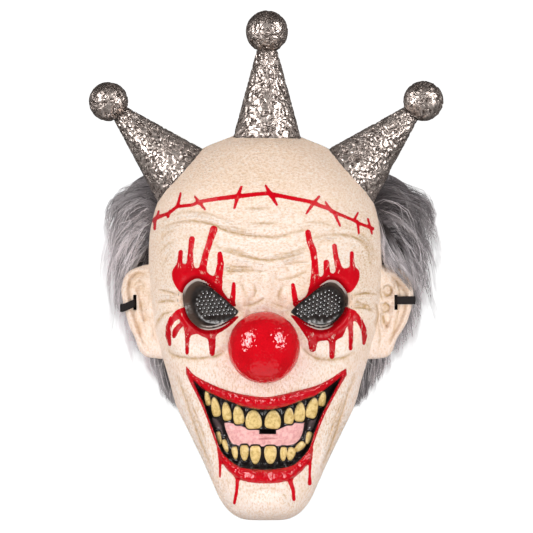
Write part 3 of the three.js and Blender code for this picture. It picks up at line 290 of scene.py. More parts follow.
# Ridges and hollows of the ears: width, height and path seen from the front
EAR_FOLDS = {
    "left": [
        (1.9, 1.5, [(-78.7, 26.1), (-87, 25.3), (-92.1, 20.7), (-93.9, 13.3), (-92.9, 4.7), (-90.2, -6.7),
                    (-86.2, -17.3), (-82.3, -27.3)]),
        (1.5, -1.7, [(-79.7, 22.9), (-85.9, 22.4), (-89.4, 17.6), (-90.5, 10.7), (-88.6, 3.3), (-86.1, -6.7),
                     (-82.7, -17.3)]),
        (1.6, 1.3, [(-83.7, 21.1), (-87, 16), (-86.6, 9.3), (-83.8, 3.7), (-82.5, -5.3), (-80.6, -14.7)]),
        (3.0, -2.2, [(-82.2, 14), (-81.9, 10.5)]),
        (1.3, 1.6, [(-80.7, 16.4), (-80.2, 15)]),
        (1.7, -1.9, [(-81.7, 4.7), (-82.2, -1.3), (-79.5, -6.9), (-75, -5.6)]),
        (1.5, -1.2, [(-74.7, -19), (-72.3, -9.3), (-72, 0), (-74, 8)]),
        (1.5, 0.9, [(-77.5, -20), (-75.5, -12), (-76.5, -1)]),
    ],
    "right": [
        (1.9, 1.5, [(84, 24.5), (89.5, 21.3), (94, 16), (96.2, 9.3), (94.8, -2), (90.8, -13.3), (85.9, -22)]),
        (1.5, -1.7, [(85, 20.5), (90.5, 15), (93.3, 8), (91.4, -2.7), (87, -13.3), (82.3, -21.3)]),
        (1.6, 1.3, [(83.7, 17.3), (86.7, 9.3), (85.4, 0), (83.7, -9.3), (80.3, -18.7)]),
        (2.6, -2.4, [(81.4, 12.3), (81, 9.5)]),
        (2.3, -2.4, [(79.9, 2.2), (79.4, 0)]),
        (1.6, -1.9, [(77.9, -4.7), (78.4, -8), (80.3, -10.7)]),
        (1.2, -1.2, [(85.4, 16.3), (85.4, 15.5)]),
        (1.5, -1.2, [(74.5, -19), (73, -8), (72.5, 2.7), (74.5, 9)]),
        (1.5, 0.9, [(77, -21), (76, -13), (75.5, -3)]),
    ],
}
STRAP_WIDTH, STRAP_THICKNESS, STRAP_REACH, STRAP_CLEARANCE = 5.4, 0.9, 148, 0.8
# Height of the strap's middle at each ear's slot and edge, and at the back of the head
STRAP_LEVEL = {"left": (4.0, 0.6), "right": (5.8, 5.8)}
STRAP_BACK = -17
GAP = 0.3

# Floors of the eye cups, their rows' lean in degrees and their holes
EYE_FLOORS = {
    "left": [(-19, -2.5), (-24, 3.2), (-31, 9), (-38, 13), (-43.5, 12.5), (-46.6, 7), (-46, 0), (-43, -5.5),
             (-38, -9), (-31, -9.7), (-25, -7.4)],
    "right": [(17.8, -3), (22.5, 2.8), (29, 8), (36, 12.3), (42, 13.6), (48, 11.4), (51, 5.5), (50, -1.5),
              (46, -7), (40, -9.8), (32, -9.6), (24, -7.2)],
}
CUP_SINK, CUP_DEPTH, CUP_FLOOR = 1.0, 5.0, 1.2
EYE_GRID_LEAN = {"left": 5, "right": 25}
HOLE_PITCH, HOLE_ROW_STEP, HOLE_RADIUS, HOLE_SIDES, HOLE_LOWEST = 2.85, 0.866, 0.32, 9, -5.2
FOIL_DEPTH = 0.8

# Locks of the side hair: height of the root, reach, drop, lift, distance behind the edge, thickness
LOCKS = np.array([
    (78, 31, 27, 13, 9, 8),
    (68, 29, 34, 7, 8, 8.5),
    (57, 27, 42, 4, 10, 9),
    (45, 24, 46, 2, 11, 9),
    (30, 21, 46, 0, 18, 8.5),
    (12, 17, 44, -3, 19, 8),
    (-6, 10, 42, -6, 19, 7),
    (-24, 3, 40, -8, 16, 5.5),
])
HAIR_SPREAD = {"left": 1.0, "right": 1.2}
HAIR_TONE = {"left": 1.4, "right": 0.95}
HAIR_TOP, HAIR_SPAN, HAIR_LOWEST = 77, 123, -65
# Heights between which the hair turns into the flatter, darker hair of the crown
CROWN_FROM, CROWN_TO = 58, 74
LOCKS_PER_PIECE, STRANDS_PER_LOCK, LOCKS_OVER_EAR = 255, 11, 40
# Shares of the locks that are bright and that hang loose, and of the strands that are thick and pale
BRIGHT_LOCKS, LOOSE_LOCKS, PALE_STRANDS = 0.2, 0.10, 0.10
SIGN = {"left": -1, "right": 1}

# Rows and columns of points on the fine grids
FACE_GRID, EAR_GRID, MOUTH_GRID, NOSE_GRID = (331, 231), (104, 64), (151, 261), (70, 110)
HORN_GRID, BALL_GRID, HORN_INNER_ROWS = (110, 150), (72, 110), 12
INSIDE_STEP = 2
# Distance given to points far from a line, the one that stands for no paint, and the reach of a wrinkle
FAR, CLEAR, CREASE_REACH = 99.0, 9.0, 5.0

# Lights: degrees round and up from the front, distance, width, height in metres, watts, and what they light
LIGHTS = {
    "softbox_left": (-56, 17, 1.3, 0.8, 1.4, 14.6, "surfaces"),
    "softbox_right": (56, 17, 1.3, 0.8, 1.4, 13.2, "surfaces"),
    "side_left": (-88, 8, 1.3, 0.6, 1.2, 1.8, "surfaces"),
    "side_right": (88, 8, 1.3, 0.6, 1.2, 2.5, "surfaces"),
    "softbox_top": (0, 70, 1.4, 1.2, 0.8, 2.5, "surfaces"),
    "low_fill": (0, -24, 1.4, 1.6, 0.4, 8.0, "surfaces"),
    "floor_bounce": (0, -62, 0.9, 1.7, 1.2, 6.0, "surfaces"),
    "back_fill": (180, 25, 2.0, 1.6, 1.6, 27.0, "surfaces"),
    "table_glow": (0, -78, 0.8, 1.0, 0.8, 1.5, "gloss"),
    "window_left": (-54, 20, 1.25, 0.45, 0.8, 19.0, "gloss"),
    "window_right": (54, 20, 1.25, 0.45, 0.8, 19.0, "gloss"),
}
LIGHT_TARGET = Vector((0, -0.03, 0.02))
STUDIO_LIGHT, STUDIO_STRENGTH = (1.0, 0.99, 0.98, 1.0), 0.09
# Floor and backdrop: width and place in metres, and tilt in degrees
STAGE = {"floor": (9.0, (0, 1.0, -0.32), 0), "backdrop": (6.0, (0, 18.0, 0.6), 90)}


def smooth_column(keys, values, at):
    """Smooth value of a table's column at places along its key."""
    keys = np.asarray(keys, float)
    values = np.asarray(values, float)
    count = len(keys)
    before = np.maximum(np.arange(count) - 1, 0)
    after = np.minimum(np.arange(count) + 1, count - 1)
    slope = (values[after] - values[before]) / (keys[after] - keys[before])
    i = np.clip(np.searchsorted(keys, at, side="right") - 1, 0, count - 2)
    span = keys[i + 1] - keys[i]
    t = np.clip((at - keys[i]) / span, 0, 1)
    return ((2 * t ** 3 - 3 * t ** 2 + 1) * values[i] + (t ** 3 - 2 * t ** 2 + t) * span * slope[i]
            + (3 * t ** 2 - 2 * t ** 3) * values[i + 1] + (t ** 3 - t ** 2) * span * slope[i + 1])


def smoothstep(value, low, high):
    t = np.clip((value - low) / (high - low), 0, 1)
    return t * t * (3 - 2 * t)


def bell(distance, width):
    """Soft bump, 1 at no distance and fading over a width."""
    return np.exp(-(distance / width) ** 2)


def curve_through(points, steps=6, closed=False):
    """Points of a smooth curve through the given ones."""
    p = np.asarray(points, float)
    if closed:
        p = np.vstack([p[-1], p, p[0], p[1]])
    else:
        p = np.vstack([2 * p[0] - p[1], p, 2 * p[-1] - p[-2]])
    t = (np.arange(steps) / steps)[:, None]
    out = []
    for a, b, c, d in zip(p, p[1:], p[2:], p[3:]):
        out.append(0.5 * (2 * b + (c - a) * t + (2 * a - 5 * b + 4 * c - d) * t ** 2
                          + (3 * b - a - 3 * c + d) * t ** 3))
    out = np.vstack(out)
    return out if closed else np.vstack([out, p[-2]])


def segment_gap(x, z, start, end):
    """Distance of points from a straight piece of line, and the share of it where they are nearest."""
    dx, dz = end[0] - start[0], end[1] - start[1]
    t = np.clip(((x - start[0]) * dx + (z - start[1]) * dz) / max(dx * dx + dz * dz, 1e-9), 0, 1)
    return np.hypot(x - start[0] - t * dx, z - start[1] - t * dz), t


def near_box(x, z, points, reach):
    """True at places within reach of the box round a line's points."""
    x_low, z_low = np.min(points, axis=0)[:2] - reach
    x_high, z_high = np.max(points, axis=0)[:2] + reach
    return (x > x_low) & (x < x_high) & (z > z_low) & (z < z_high)


def stroke_distance(x, z, points, reach=8.0):
    """Distance outside a stroke whose points hold x, z and an optional half width, negative inside."""
    points = np.array([tuple(p) + (0.0,) * (3 - len(p)) for p in points])
    near = near_box(x, z, points, reach)
    found = np.full(x[near].shape, FAR)
    for start, end in zip(points, points[1:]):
        gap, t = segment_gap(x[near], z[near], start, end)
        found = np.minimum(found, gap - (start[2] + t * (end[2] - start[2])))
    best = np.full(x.shape, FAR)
    best[near] = found
    return best


def outline_distance(x, z, outline):
    """Distance outside a closed outline, negative inside."""
    corners = np.asarray(outline, float)
    best = np.full(x.shape, np.inf)
    inside = np.zeros(x.shape, bool)
    for start, end in zip(corners, np.roll(corners, -1, axis=0)):
        best = np.minimum(best, segment_gap(x, z, start, end)[0])
        (ax, az), (bx, bz) = start, end
        if az != bz:
            inside ^= ((az > z) != (bz > z)) & (x < (bx - ax) * (z - az) / (bz - az) + ax)
    return np.where(inside, -best, best)


def spots(x, z, table):
    """Sum of soft spots: middle x and z, half width, half height and strength."""
    return sum(strength * np.exp(-((x - middle_x) / wide) ** 2 - ((z - middle_z) / tall) ** 2)
               for middle_x, middle_z, wide, tall, strength in table)


def furthest(low, high, holds):
    """Largest values between two bounds for which a test still holds, by halving."""
    for _ in range(22):
        middle = (low + high) / 2
        good = holds(middle)
        low, high = np.where(good, middle, low), np.where(good, high, middle)
    return low


ALONG = np.concatenate([[0], np.cumsum(np.hypot(np.diff(SECTIONS[:, 0]), np.diff(SECTIONS[:, 2])))])
DENSE_ALONG = np.linspace(0, ALONG[-1], 2000)
DENSE_Z = np.maximum.accumulate(smooth_column(ALONG, SECTIONS[:, 0], DENSE_ALONG)) + np.arange(2000) * 1e-9
FOLD_LINES = [(w, h, both, curve_through(path, 4)) for w, h, both, path in FOLDS]
CREASE_LINES = [(dark, depth, curve_through(path, 5)) for dark, depth, path in CREASES]
LIP_OUTLINE = np.vstack([curve_through(LIP_OUTER_TOP, 4), curve_through(LIP_OUTER_LOW, 4)])
MOUTH_TOP_LINE = curve_through(MOUTH_TOP, 6)
MOUTH_LOW_LINE = curve_through(MOUTH_LOW, 6)
MOUTH_OUTLINE = np.vstack([MOUTH_TOP_LINE, MOUTH_LOW_LINE[-2:0:-1]])


def eye_outline(points):
    """Rounded outline that keeps its sharp inner corner, the first point."""
    return curve_through(list(points) + [points[0]])[:-1]


EYES = {"left": eye_outline(EYE_LEFT), "right": eye_outline(EYE_RIGHT)}
PATCH_OUTLINES = [curve_through(patch, 4, closed=True) for patch in RED_PATCHES]


def section_at(along):
    return [smooth_column(ALONG, SECTIONS[:, k], along) for k in range(5)]


def section_at_height(z):
    return section_at(np.interp(z, DENSE_Z, DENSE_ALONG))


def half_width_at(z):
    return section_at_height(z)[1]


def seen(x, y, z):
    """Where a point stands in the picture, measured in the plane of the origin."""
    scale = VIEW_DISTANCE / (VIEW_DISTANCE + y)
    return VIEW_X + (x - VIEW_X) * scale, VIEW_Z + (z - VIEW_Z) * scale


def fold_relief(x, z):
    height = np.zeros(x.shape)
    for width, tall, both, line in FOLD_LINES:
        near = stroke_distance(x, z, line, 3 * width)
        if both:
            near = np.minimum(near, stroke_distance(-x, z, line, 3 * width))
        height += tall * bell(near, width)
    across = (np.abs(x) - SOCKET_X) / SOCKET_HALF_WIDTH
    up = (z - SOCKET_Z) / SOCKET_HALF_HEIGHT
    return height - SOCKET_DEPTH * np.exp(-(across ** 2 + up ** 2) ** 1.5)


def head_point(section, share):
    """Outside of the head with its broad folds, at a share of the half width from the middle."""
    z, half_width, front, rim, square = section
    s = np.minimum(np.abs(share), 1)
    bulge = np.maximum(1 - s ** square, 0) ** (1 / square)
    x = half_width * share
    fade = smoothstep(1 - s, 0.02, 0.16) * smoothstep(rim - front, 4, 30)
    y = rim - (rim - front) * bulge - fold_relief(x, z) * fade
    return x, y, z + np.zeros(x.shape), fade


def face_depth(x, z):
    section = section_at_height(z)
    return head_point(section, np.clip(x / section[1], -0.999, 0.999))[1]


def eye_distance(px, pz):
    return np.minimum(outline_distance(px, pz, EYES["left"]), outline_distance(px, pz, EYES["right"]))


def mesh_object(name, points, quads, tris=None, attributes=None, places=None):
    """New object from arrays of points in millimetres and of faces."""
    quads = np.asarray(quads)
    tris = np.zeros((0, 3), int) if tris is None else np.asarray(tris)
    mesh = bpy.data.meshes.new(name)
    mesh.vertices.add(len(points))
    mesh.vertices.foreach_set("co", np.asarray(points, np.float32).ravel() * MM)
    mesh.loops.add(quads.size + tris.size)
    mesh.loops.foreach_set("vertex_index", np.concatenate([quads.ravel(), tris.ravel()]).astype(np.int32))
    mesh.polygons.add(len(quads) + len(tris))
    starts = np.concatenate([np.arange(len(quads)) * 4, quads.size + np.arange(len(tris)) * 3])
    mesh.polygons.foreach_set("loop_start", starts.astype(np.int32))
    if places is not None:
        mesh.polygons.foreach_set("material_index", np.asarray(places, np.int32))
    mesh.update(calc_edges=True)
    mesh.polygons.foreach_set("use_smooth", np.full(len(mesh.polygons), True))
    for key, values in (attributes or {}).items():
        layer = mesh.attributes.new(key, "FLOAT", "POINT")
        layer.data.foreach_set("value", np.asarray(values, np.float32).ravel())
    obj = bpy.data.objects.new(name, mesh)
    bpy.context.scene.collection.objects.link(obj)
    return obj


def grid_quads(rows, columns, start=0, wrap=False, flip=False):
    """Faces of a grid of points stored row by row."""
    r, c = np.meshgrid(np.arange(rows - 1), np.arange(columns if wrap else columns - 1), indexing="ij")
    n = (c + 1) % columns
    quads = np.stack([r * columns + c, r * columns + n, (r + 1) * columns + n, (r + 1) * columns + c], -1)
    quads = quads.reshape(-1, 4) + start
    return quads[:, ::-1] if flip else quads


def place(obj, node, material, replaces=True):
    """Give a piece its material and its body, and hide the node's own part when the piece replaces it."""
    for m in material if isinstance(material, (list, tuple)) else [material]:
        obj.data.materials.append(m)
    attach(obj, "root")
    if replaces:
        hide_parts(node)
    return obj


def fan(first, columns, tip):
    """Faces from a closed ring of points to one point."""
    i = np.arange(columns)
    return np.stack([first + i, first + (i + 1) % columns, np.full(columns, tip)], -1)


def tube(path, radius, sides, sign, squash=1.0):
    """Rings of points round a path, flattened in depth, for the side that the sign gives."""
    depth = np.array([0.0, 1.0, 0.0])
    ahead = np.gradient(path, axis=0)
    ahead /= np.linalg.norm(ahead, axis=1, keepdims=True) + 1e-9
    angle = np.arange(sides) / sides * 2 * np.pi
    ring = (path[:, None] + (radius[:, None] * np.cos(angle))[..., None] * np.cross(depth, ahead)[:, None]
            + (squash * radius[:, None] * np.sin(angle))[..., None] * depth)
    ring[..., 0] *= sign
    return ring.reshape(-1, 3)


def edges_between(fine, coarse):
    """Faces that close the gap round two grids of point numbers, a fine one and a coarser one behind it."""
    tris = []
    sides = ((fine[:, 0], coarse[:, 0], -1), (fine[:, -1], coarse[:, -1], 1),
             (fine[0], coarse[0], 1), (fine[-1], coarse[-1], -1))
    for near, far, way in sides:
        ratio = (len(near) - 1) // (len(far) - 1)
        turn = (ratio + 1) // 2
        for i in range(len(far) - 1):
            first = i * ratio
            for k in range(ratio):
                tris.append((near[first + k], far[i if k < turn else i + 1], near[first + k + 1])[::way])
            tris.append((near[first + turn], far[i], far[i + 1])[::way])
    return np.array(tris)


def with_back(fields, count, **behind):
    """Fields of a piece's front, with one value, 0 if none is given, for each point of its back."""
    return {name: np.append(values, np.full(count, behind.get(name, 0.0))) for name, values in fields.items()}


def merged(a, b, blend):
    """Union of two distances with a rounded corner where they meet."""
    close = np.maximum(blend - np.abs(a - b), 0) / blend
    return np.minimum(a, b) - close * close * blend / 4


def foil_crinkle(points, seed):
    """Wrinkles of pressed foil, from 0 in the creases to about 1 on the ridges."""
    warp = np.stack([fractal(points, 0.10, 2, seed + 40 * k) for k in range(3)], -1)
    bent = points + 3.2 * warp
    worms = 1 - np.abs(fractal(bent, 0.27, 1, seed + 7.0)) * 2.6
    return np.clip(worms, 0, 1)


def fractal(points, scale, octaves, seed):
    """Smooth noise at points, one value each."""
    shift = Vector((seed, seed * 1.7, -seed))
    return np.array([noise.fractal(Vector(p) * scale + shift, 1.0, 2.0, octaves) for p in points])


# Material nodes

class Nodes:
    """Small helper round one material's node tree."""

    def __init__(self, name):
        self.material = bpy.data.materials.new(name)
        self.material.use_nodes = True
        self.tree = self.material.node_tree
        self.shader = self.tree.nodes["Principled BSDF"]

    def put(self, socket, value):
        """Give a socket a number, a colour or a vector, or link it to another socket."""
        if isinstance(value, tuple):
            socket.default_value = value if socket.type == "VECTOR" else (*value, 1.0)
        elif isinstance(value, (int, float)):
            socket.default_value = value
        else:
            self.tree.links.new(value, socket)

    def add(self, kind, inputs=None, **settings):
        node = self.tree.nodes.new(kind)
        for key, value in settings.items():
            setattr(node, key, value)
        for key, value in (inputs or {}).items():
            self.put(node.inputs[key], value)
        return node

    def attribute(self, name):
        return self.add("ShaderNodeAttribute", attribute_name=name).outputs["Fac"]

    def coords(self, scale=None):
        out = self.add("ShaderNodeTexCoord").outputs["Object"]
        if scale is None:
            return out
        return self.add("ShaderNodeMapping", {"Vector": out, "Scale": scale}).outputs["Vector"]

    def noise(self, scale, detail=3.0, roughness=0.5, vector=None, distortion=0.0):
        inputs = {"Vector": vector or self.coords(), "Scale": scale, "Detail": detail,
                  "Roughness": roughness, "Distortion": distortion}
        return self.add("ShaderNodeTexNoise", inputs).outputs["Fac"]

    def math(self, operation, a, b=None):
        inputs = {0: a} if b is None else {0: a, 1: b}
        return self.add("ShaderNodeMath", inputs, operation=operation).outputs[0]

    def times(self, a, b):
        return self.math("MULTIPLY", a, b)

    def plus(self, a, b):
        return self.math("ADD", a, b)

    def minus(self, a, b):
        return self.math("SUBTRACT", a, b)

    def band(self, value, low, high, out_low=0.0, out_high=1.0):
        """Value taken from one range to another, eased and clamped."""
        inputs = {"Value": value, "From Min": low, "From Max": high, "To Min": out_low, "To Max": out_high}
        return self.add("ShaderNodeMapRange", inputs, interpolation_type="SMOOTHSTEP").outputs["Result"]

    def mix(self, factor, a, b):
        """Mix of two colours, each a socket or numbers."""
        return self.add("ShaderNodeMix", {0: factor, 6: a, 7: b}, data_type="RGBA").outputs[2]

    def bump(self, height, strength, distance, normal=None):
        inputs = {"Height": height, "Strength": strength, "Distance": distance}
        if normal is not None:
            inputs["Normal"] = normal
        return self.add("ShaderNodeBump", inputs).outputs["Normal"]

    def finish(self, colour, roughness, normal=None, **others):
        """Give the shader its inputs and return the material."""
        inputs = {"Base Color": colour, "Roughness": roughness, "Normal": normal}
        for name, value in others.items():
            inputs[name.replace("_", " ").title().replace("Ior", "IOR")] = value
        for name, value in inputs.items():
            if value is not None:
                self.put(self.shader.inputs[name], value)
        return self.material


SKIN = (0.93, 0.755, 0.635)
SKIN_CROWN = (0.90, 0.705, 0.57)
SKIN_PINK = (0.97, 0.79, 0.71)
# SKIN_PALE serves for paler flecks in the grain and for the painted highlight on ridges and swellings
SKIN_PALE = (0.97, 0.87, 0.80)
SKIN_WARM = (0.84, 0.61, 0.44)
OCHRE = (0.56, 0.335, 0.13)
RED = (0.54, 0.002, 0.009)
# Darker red: painted shade towards the eye openings, and the darker red under the eyes
RED_DEEP = (0.30, 0.001, 0.004)


def skin_material():
    n = Nodes("painted_skin")
    height = n.add("ShaderNodeSeparateXYZ", {"Vector": n.coords()}).outputs["Z"]
    jaw = n.band(height, 0.03, -0.06)
    base = n.mix(jaw, SKIN, SKIN_PINK)
    base = n.mix(n.band(height, 0.055, 0.095), base, SKIN_CROWN)
    base = n.mix(n.band(n.noise(60.0, 4.0), 0.38, 0.72, 0.0, 0.28), base, SKIN_WARM)
    level = n.noise(1.0, 3.0, 0.65, n.coords((520.0, 520.0, 860.0)))
    upright = n.noise(1.0, 3.0, 0.65, n.coords((860.0, 520.0, 520.0)))
    grain = n.plus(n.times(upright, jaw), n.times(level, n.minus(1.0, jaw)))
    base = n.mix(n.band(grain, 0.54, 0.38, 0.0, 0.85), base, SKIN_WARM)
    base = n.mix(n.band(grain, 0.52, 0.66, 0.0, 0.6), base, SKIN_PALE)
    speckle = n.times(n.band(grain, 0.48, 0.34), n.attribute("speckle"))
    base = n.mix(speckle, base, OCHRE)
    # Paler on the ridges beside the wrinkles and on the swellings: painted highlight
    base = n.mix(n.times(n.attribute("ridge_highlight"), n.band(grain, 0.34, 0.60)), base, SKIN_PALE)
    broken = n.band(n.noise(240.0, 4.0, 0.6), 0.32, 0.62, 0.4, 1.0)
    line = n.plus(n.math("ABSOLUTE", n.attribute("line")), n.times(n.noise(420.0), 0.6))
    line = n.band(line, 2.0, 0.3)
    line = n.times(n.times(line, line), n.attribute("line_dark"))
    wash = n.times(n.plus(n.attribute("wash"), n.times(line, 0.8)), broken)
    base = n.mix(n.math("MINIMUM", wash, 0.8), base, OCHRE)
    edge = n.times(n.minus(n.noise(900.0, 2.0), 0.5), 0.6)
    red = n.band(n.plus(n.attribute("red"), edge), 0.18, -0.18)
    streaks = n.noise(1.0, 3.0, 0.65, n.coords((420.0, 420.0, 150.0)))
    worn = n.times(n.band(streaks, 0.58, 0.67), n.attribute("worn"))
    red = n.times(red, n.minus(1.0, n.times(worn, 0.7)))
    # Red turns darker where deep is set: painted shade towards the eye openings, darker red under the eyes
    tone = n.mix(n.times(n.attribute("deep"), 0.85), RED, RED_DEEP)
    colour = n.mix(red, base, tone)
    colour = n.mix(n.band(n.attribute("dark"), 0.25, -0.25), colour, (0.02, 0.015, 0.015))
    gloss = n.plus(n.times(n.attribute("lip"), 0.6), n.times(red, 0.12))
    lumps = n.times(n.noise(330.0, 0.4), gloss)
    normal = n.bump(lumps, 1.0, 0.0032)
    pores = n.times(grain, n.minus(1.0, n.times(red, 0.8)))
    normal = n.bump(pores, 0.9, 0.0018, normal)
    normal = n.bump(n.minus(1.0, line), 0.7, 0.0012, normal)
    rough = n.minus(0.50, n.times(red, n.band(n.attribute("lip"), 0.0, 1.0, 0.30, 0.43)))
    dull = n.times(red, n.band(n.attribute("deep"), 0.0, 1.0, 0.05, 0.12))
    shine = n.plus(n.times(n.attribute("lip"), 0.40), n.minus(0.14, dull))
    return n.finish(colour, rough, normal, specular_ior_level=shine)


def inside_material():
    n = Nodes("bare_inside")
    tone = n.mix(n.band(n.noise(60.0, 4.0), 0.3, 0.7), (0.70, 0.62, 0.53), (0.60, 0.50, 0.41))
    return n.finish(tone, 0.6, n.bump(n.noise(500.0, 3.0), 0.15, 0.0006))


def mouth_material():
    n = Nodes("mouth_paint")
    gum = n.mix(n.band(n.noise(150.0, 4.0), 0.35, 0.7), (0.008, 0.006, 0.006), (0.020, 0.014, 0.014))
    gum = n.mix(n.attribute("cheek"), gum, (0.10, 0.070, 0.072))
    tongue = n.mix(n.band(n.noise(330.0, 5.0, 0.7), 0.36, 0.66), (0.86, 0.49, 0.46), (0.66, 0.29, 0.29))
    tongue = n.mix(n.times(n.attribute("line"), 0.7), tongue, (0.36, 0.11, 0.10))
    tooth = n.mix(n.band(n.noise(420.0, 4.0, 0.7), 0.40, 0.68), (0.76, 0.565, 0.24), (0.50, 0.325, 0.085))
    tooth = n.mix(n.band(n.attribute("tooth"), 0.7, 0.1, 0.0, 0.55), tooth, (0.44, 0.27, 0.07))
    colour = n.mix(n.band(n.attribute("tongue"), 0.2, -0.25), gum, tongue)
    rimmed = n.band(n.attribute("tooth"), -0.75, -0.45)
    colour = n.mix(rimmed, colour, (0.008, 0.006, 0.006))
    colour = n.mix(n.band(n.attribute("tooth"), -0.02, 0.12), colour, tooth)
    # The breathing slot is painted near black: painted shade for the dark deep inside the slot
    colour = n.mix(n.band(n.attribute("slot"), 0.15, -0.15), colour, (0.0015, 0.0015, 0.0015))
    rough = n.band(n.attribute("tooth"), -0.02, 0.12, 0.16, 0.40)
    rough = n.math("MAXIMUM", rough, n.band(n.attribute("tongue"), 0.2, -0.25, 0.0, 0.42))
    normal = n.bump(n.noise(420.0, 1.0), 0.35, 0.0009)
    return n.finish(colour, rough, normal, specular_ior_level=0.35)


def nose_material():
    n = Nodes("red_gloss")
    tone = n.mix(n.band(n.noise(90.0, 4.0), 0.35, 0.72), (0.60, 0.0012, 0.008), (0.51, 0.001, 0.006))
    normal = n.bump(n.noise(420.0, 0.8), 0.5, 0.0011)
    return n.finish(tone, 0.08, normal, specular_ior_level=0.5)


def eye_material():
    n = Nodes("dark_eye_paint")
    dark = n.mix(n.band(n.noise(220.0, 3.0), 0.35, 0.7), (0.014, 0.011, 0.010), (0.036, 0.029, 0.026))
    colour = n.mix(n.attribute("brown"), dark, (0.105, 0.077, 0.060))
    # Pale where the pale attribute is set: the band at the upper outer rim, and painted highlights on the
    # lower ridged lines
    colour = n.mix(n.attribute("pale"), colour, (0.66, 0.59, 0.54))
    normal = n.bump(n.noise(450.0, 1.0), 0.35, 0.0009)
    return n.finish(colour, 0.28, normal, specular_ior_level=0.4)


def silver_material():
    n = Nodes("crinkled_silver")
    bend = n.noise(170.0, 1.0, distortion=1.8)
    worms = n.band(n.math("ABSOLUTE", n.minus(bend, 0.5)), 0.0, 0.075)
    grime = n.band(n.noise(110.0, 5.0, 0.68), 0.46, 0.70)
    # Dark along the worm lines: painted shade in the creases of the foil; the shade attribute adds the
    # painted shade set on the horns and balls
    groove = n.times(n.minus(1.0, worms), 0.8)
    dark = n.math("MAXIMUM", n.times(grime, 0.35), n.attribute("shade"))
    dark = n.math("MINIMUM", n.plus(dark, groove), 0.92)
    colour = n.mix(dark, (0.66, 0.57, 0.52), (0.075, 0.054, 0.046))
    rough = n.band(dark, 0.0, 1.0, 0.44, 0.50)
    normal = n.bump(worms, 0.7, 0.0013)
    return n.finish(colour, rough, normal, metallic=1.0)


def hair_material():
    n = Nodes("grey_hair")
    tone = n.attribute("tone")
    root = n.mix(tone, (0.020, 0.016, 0.017), (0.20, 0.172, 0.178))
    tip = n.mix(tone, (0.15, 0.131, 0.136), (1.0, 0.93, 0.95))
    colour = n.mix(n.band(n.attribute("along"), 0.08, 0.72), root, tip)
    return n.finish(colour, 0.45, specular_ior_level=0.35)


# Dark grey with strand marks: painted shade of the hair's inside
def shaded_hair_mass_material():
    n = Nodes("hair_shaded_mass")
    strands = n.noise(1.0, 3.0, 0.6, n.coords((900.0, 900.0, 90.0)))
    colour = n.mix(n.band(strands, 0.35, 0.7), (0.075, 0.065, 0.068), (0.22, 0.20, 0.205))
    return n.finish(colour, 0.8, n.bump(strands, 0.8, 0.0012), specular_ior_level=0.2)


def strap_material():
    n = Nodes("black_elastic")
    inputs = {"Vector": n.coords(), "Scale": 520.0, "Distortion": 1.5}
    weave = n.add("ShaderNodeTexWave", inputs, wave_type="BANDS", bands_direction="Z").outputs["Fac"]
    height = n.plus(weave, n.noise(1600.0, 2.0))
    colour = n.mix(n.band(height, 0.6, 1.4), (0.005, 0.003, 0.003), (0.020, 0.014, 0.014))
    return n.finish(colour, 0.8, n.bump(height, 0.5, 0.0004), specular_ior_level=0.25)


def paint_fields(px, pz):
    """Distances in the picture that the paint is drawn from."""
    patches = np.minimum.reduce([outline_distance(px, pz, o) for o in PATCH_OUTLINES])
    drips = np.full(px.shape, FAR)
    for drip in EYE_DRIPS:
        drips = merged(drips, stroke_distance(px, pz, drip) - 0.42, 1.4)
    scar = np.full(px.shape, FAR)
    for stitch in SCAR:
        scar = merged(scar, stroke_distance(px, pz, stitch) - 0.22, 0.9)
    chin = np.minimum.reduce([stroke_distance(px, pz, d) for d in MOUTH_DRIPS]) - 0.32
    lips = outline_distance(px, pz, LIP_OUTLINE)
    return patches, drips, scar, chin, lips


def wrinkle_fields(px, pz):
    """Signed distance to the nearest wrinkle, how dark it is there, and how deep all dents are."""
    side = np.full(px.shape, CLEAR)
    dark = np.zeros(px.shape)
    dent = np.zeros(px.shape)
    for strength, depth, line in CREASE_LINES:
        near = near_box(px, pz, line, CREASE_REACH)
        x, z = px[near], pz[near]
        best = np.full(x.shape, FAR)
        signed, part = best.copy(), np.zeros(x.shape)
        for i, (start, end) in enumerate(zip(line, line[1:])):
            gap, t = segment_gap(x, z, start, end)
            dx, dz = end - start
            closer = gap < best
            best = np.where(closer, gap, best)
            signed = np.where(closer, np.copysign(gap, dx * (z - start[1]) - dz * (x - start[0])), signed)
            part = np.where(closer, (i + t) / (len(line) - 1), part)
        taper = np.sqrt(np.clip(4 * part * (1 - part), 0, 1))
        groove = bell(best, 1.4) - 0.45 * bell(best - 2.8, 1.5)
        dent[near] += 0.95 * depth * taper * groove
        closer = best < np.abs(side[near])
        side[near] = np.where(closer, signed, side[near])
        dark[near] = np.where(closer, strength * taper * smoothstep(-best, -4.0, -2.4), dark[near])
    return side, dark, dent


def onto_openings(points):
    """Points of the inside next to the openings, moved along it to an even distance from their edges."""
    x, z = points[:, 0].copy(), points[:, 2].copy()
    step, margin = 0.05, 0.5

    def away(x, z):
        px, pz = seen(x, points[:, 1], z)
        return np.minimum(outline_distance(px, pz, MOUTH_OUTLINE), eye_distance(px, pz)) - margin

    for _ in range(3):
        gap = away(x, z)
        slope_x, slope_z = (away(x + step, z) - gap) / step, (away(x, z + step) - gap) / step
        steep = np.maximum(slope_x ** 2 + slope_z ** 2, 0.3)
        x, z = x - gap * slope_x / steep, z - gap * slope_z / steep
    y = points[:, 1] + face_depth(x, z) - face_depth(points[:, 0], points[:, 2])
    return np.stack([x, y, z], -1)


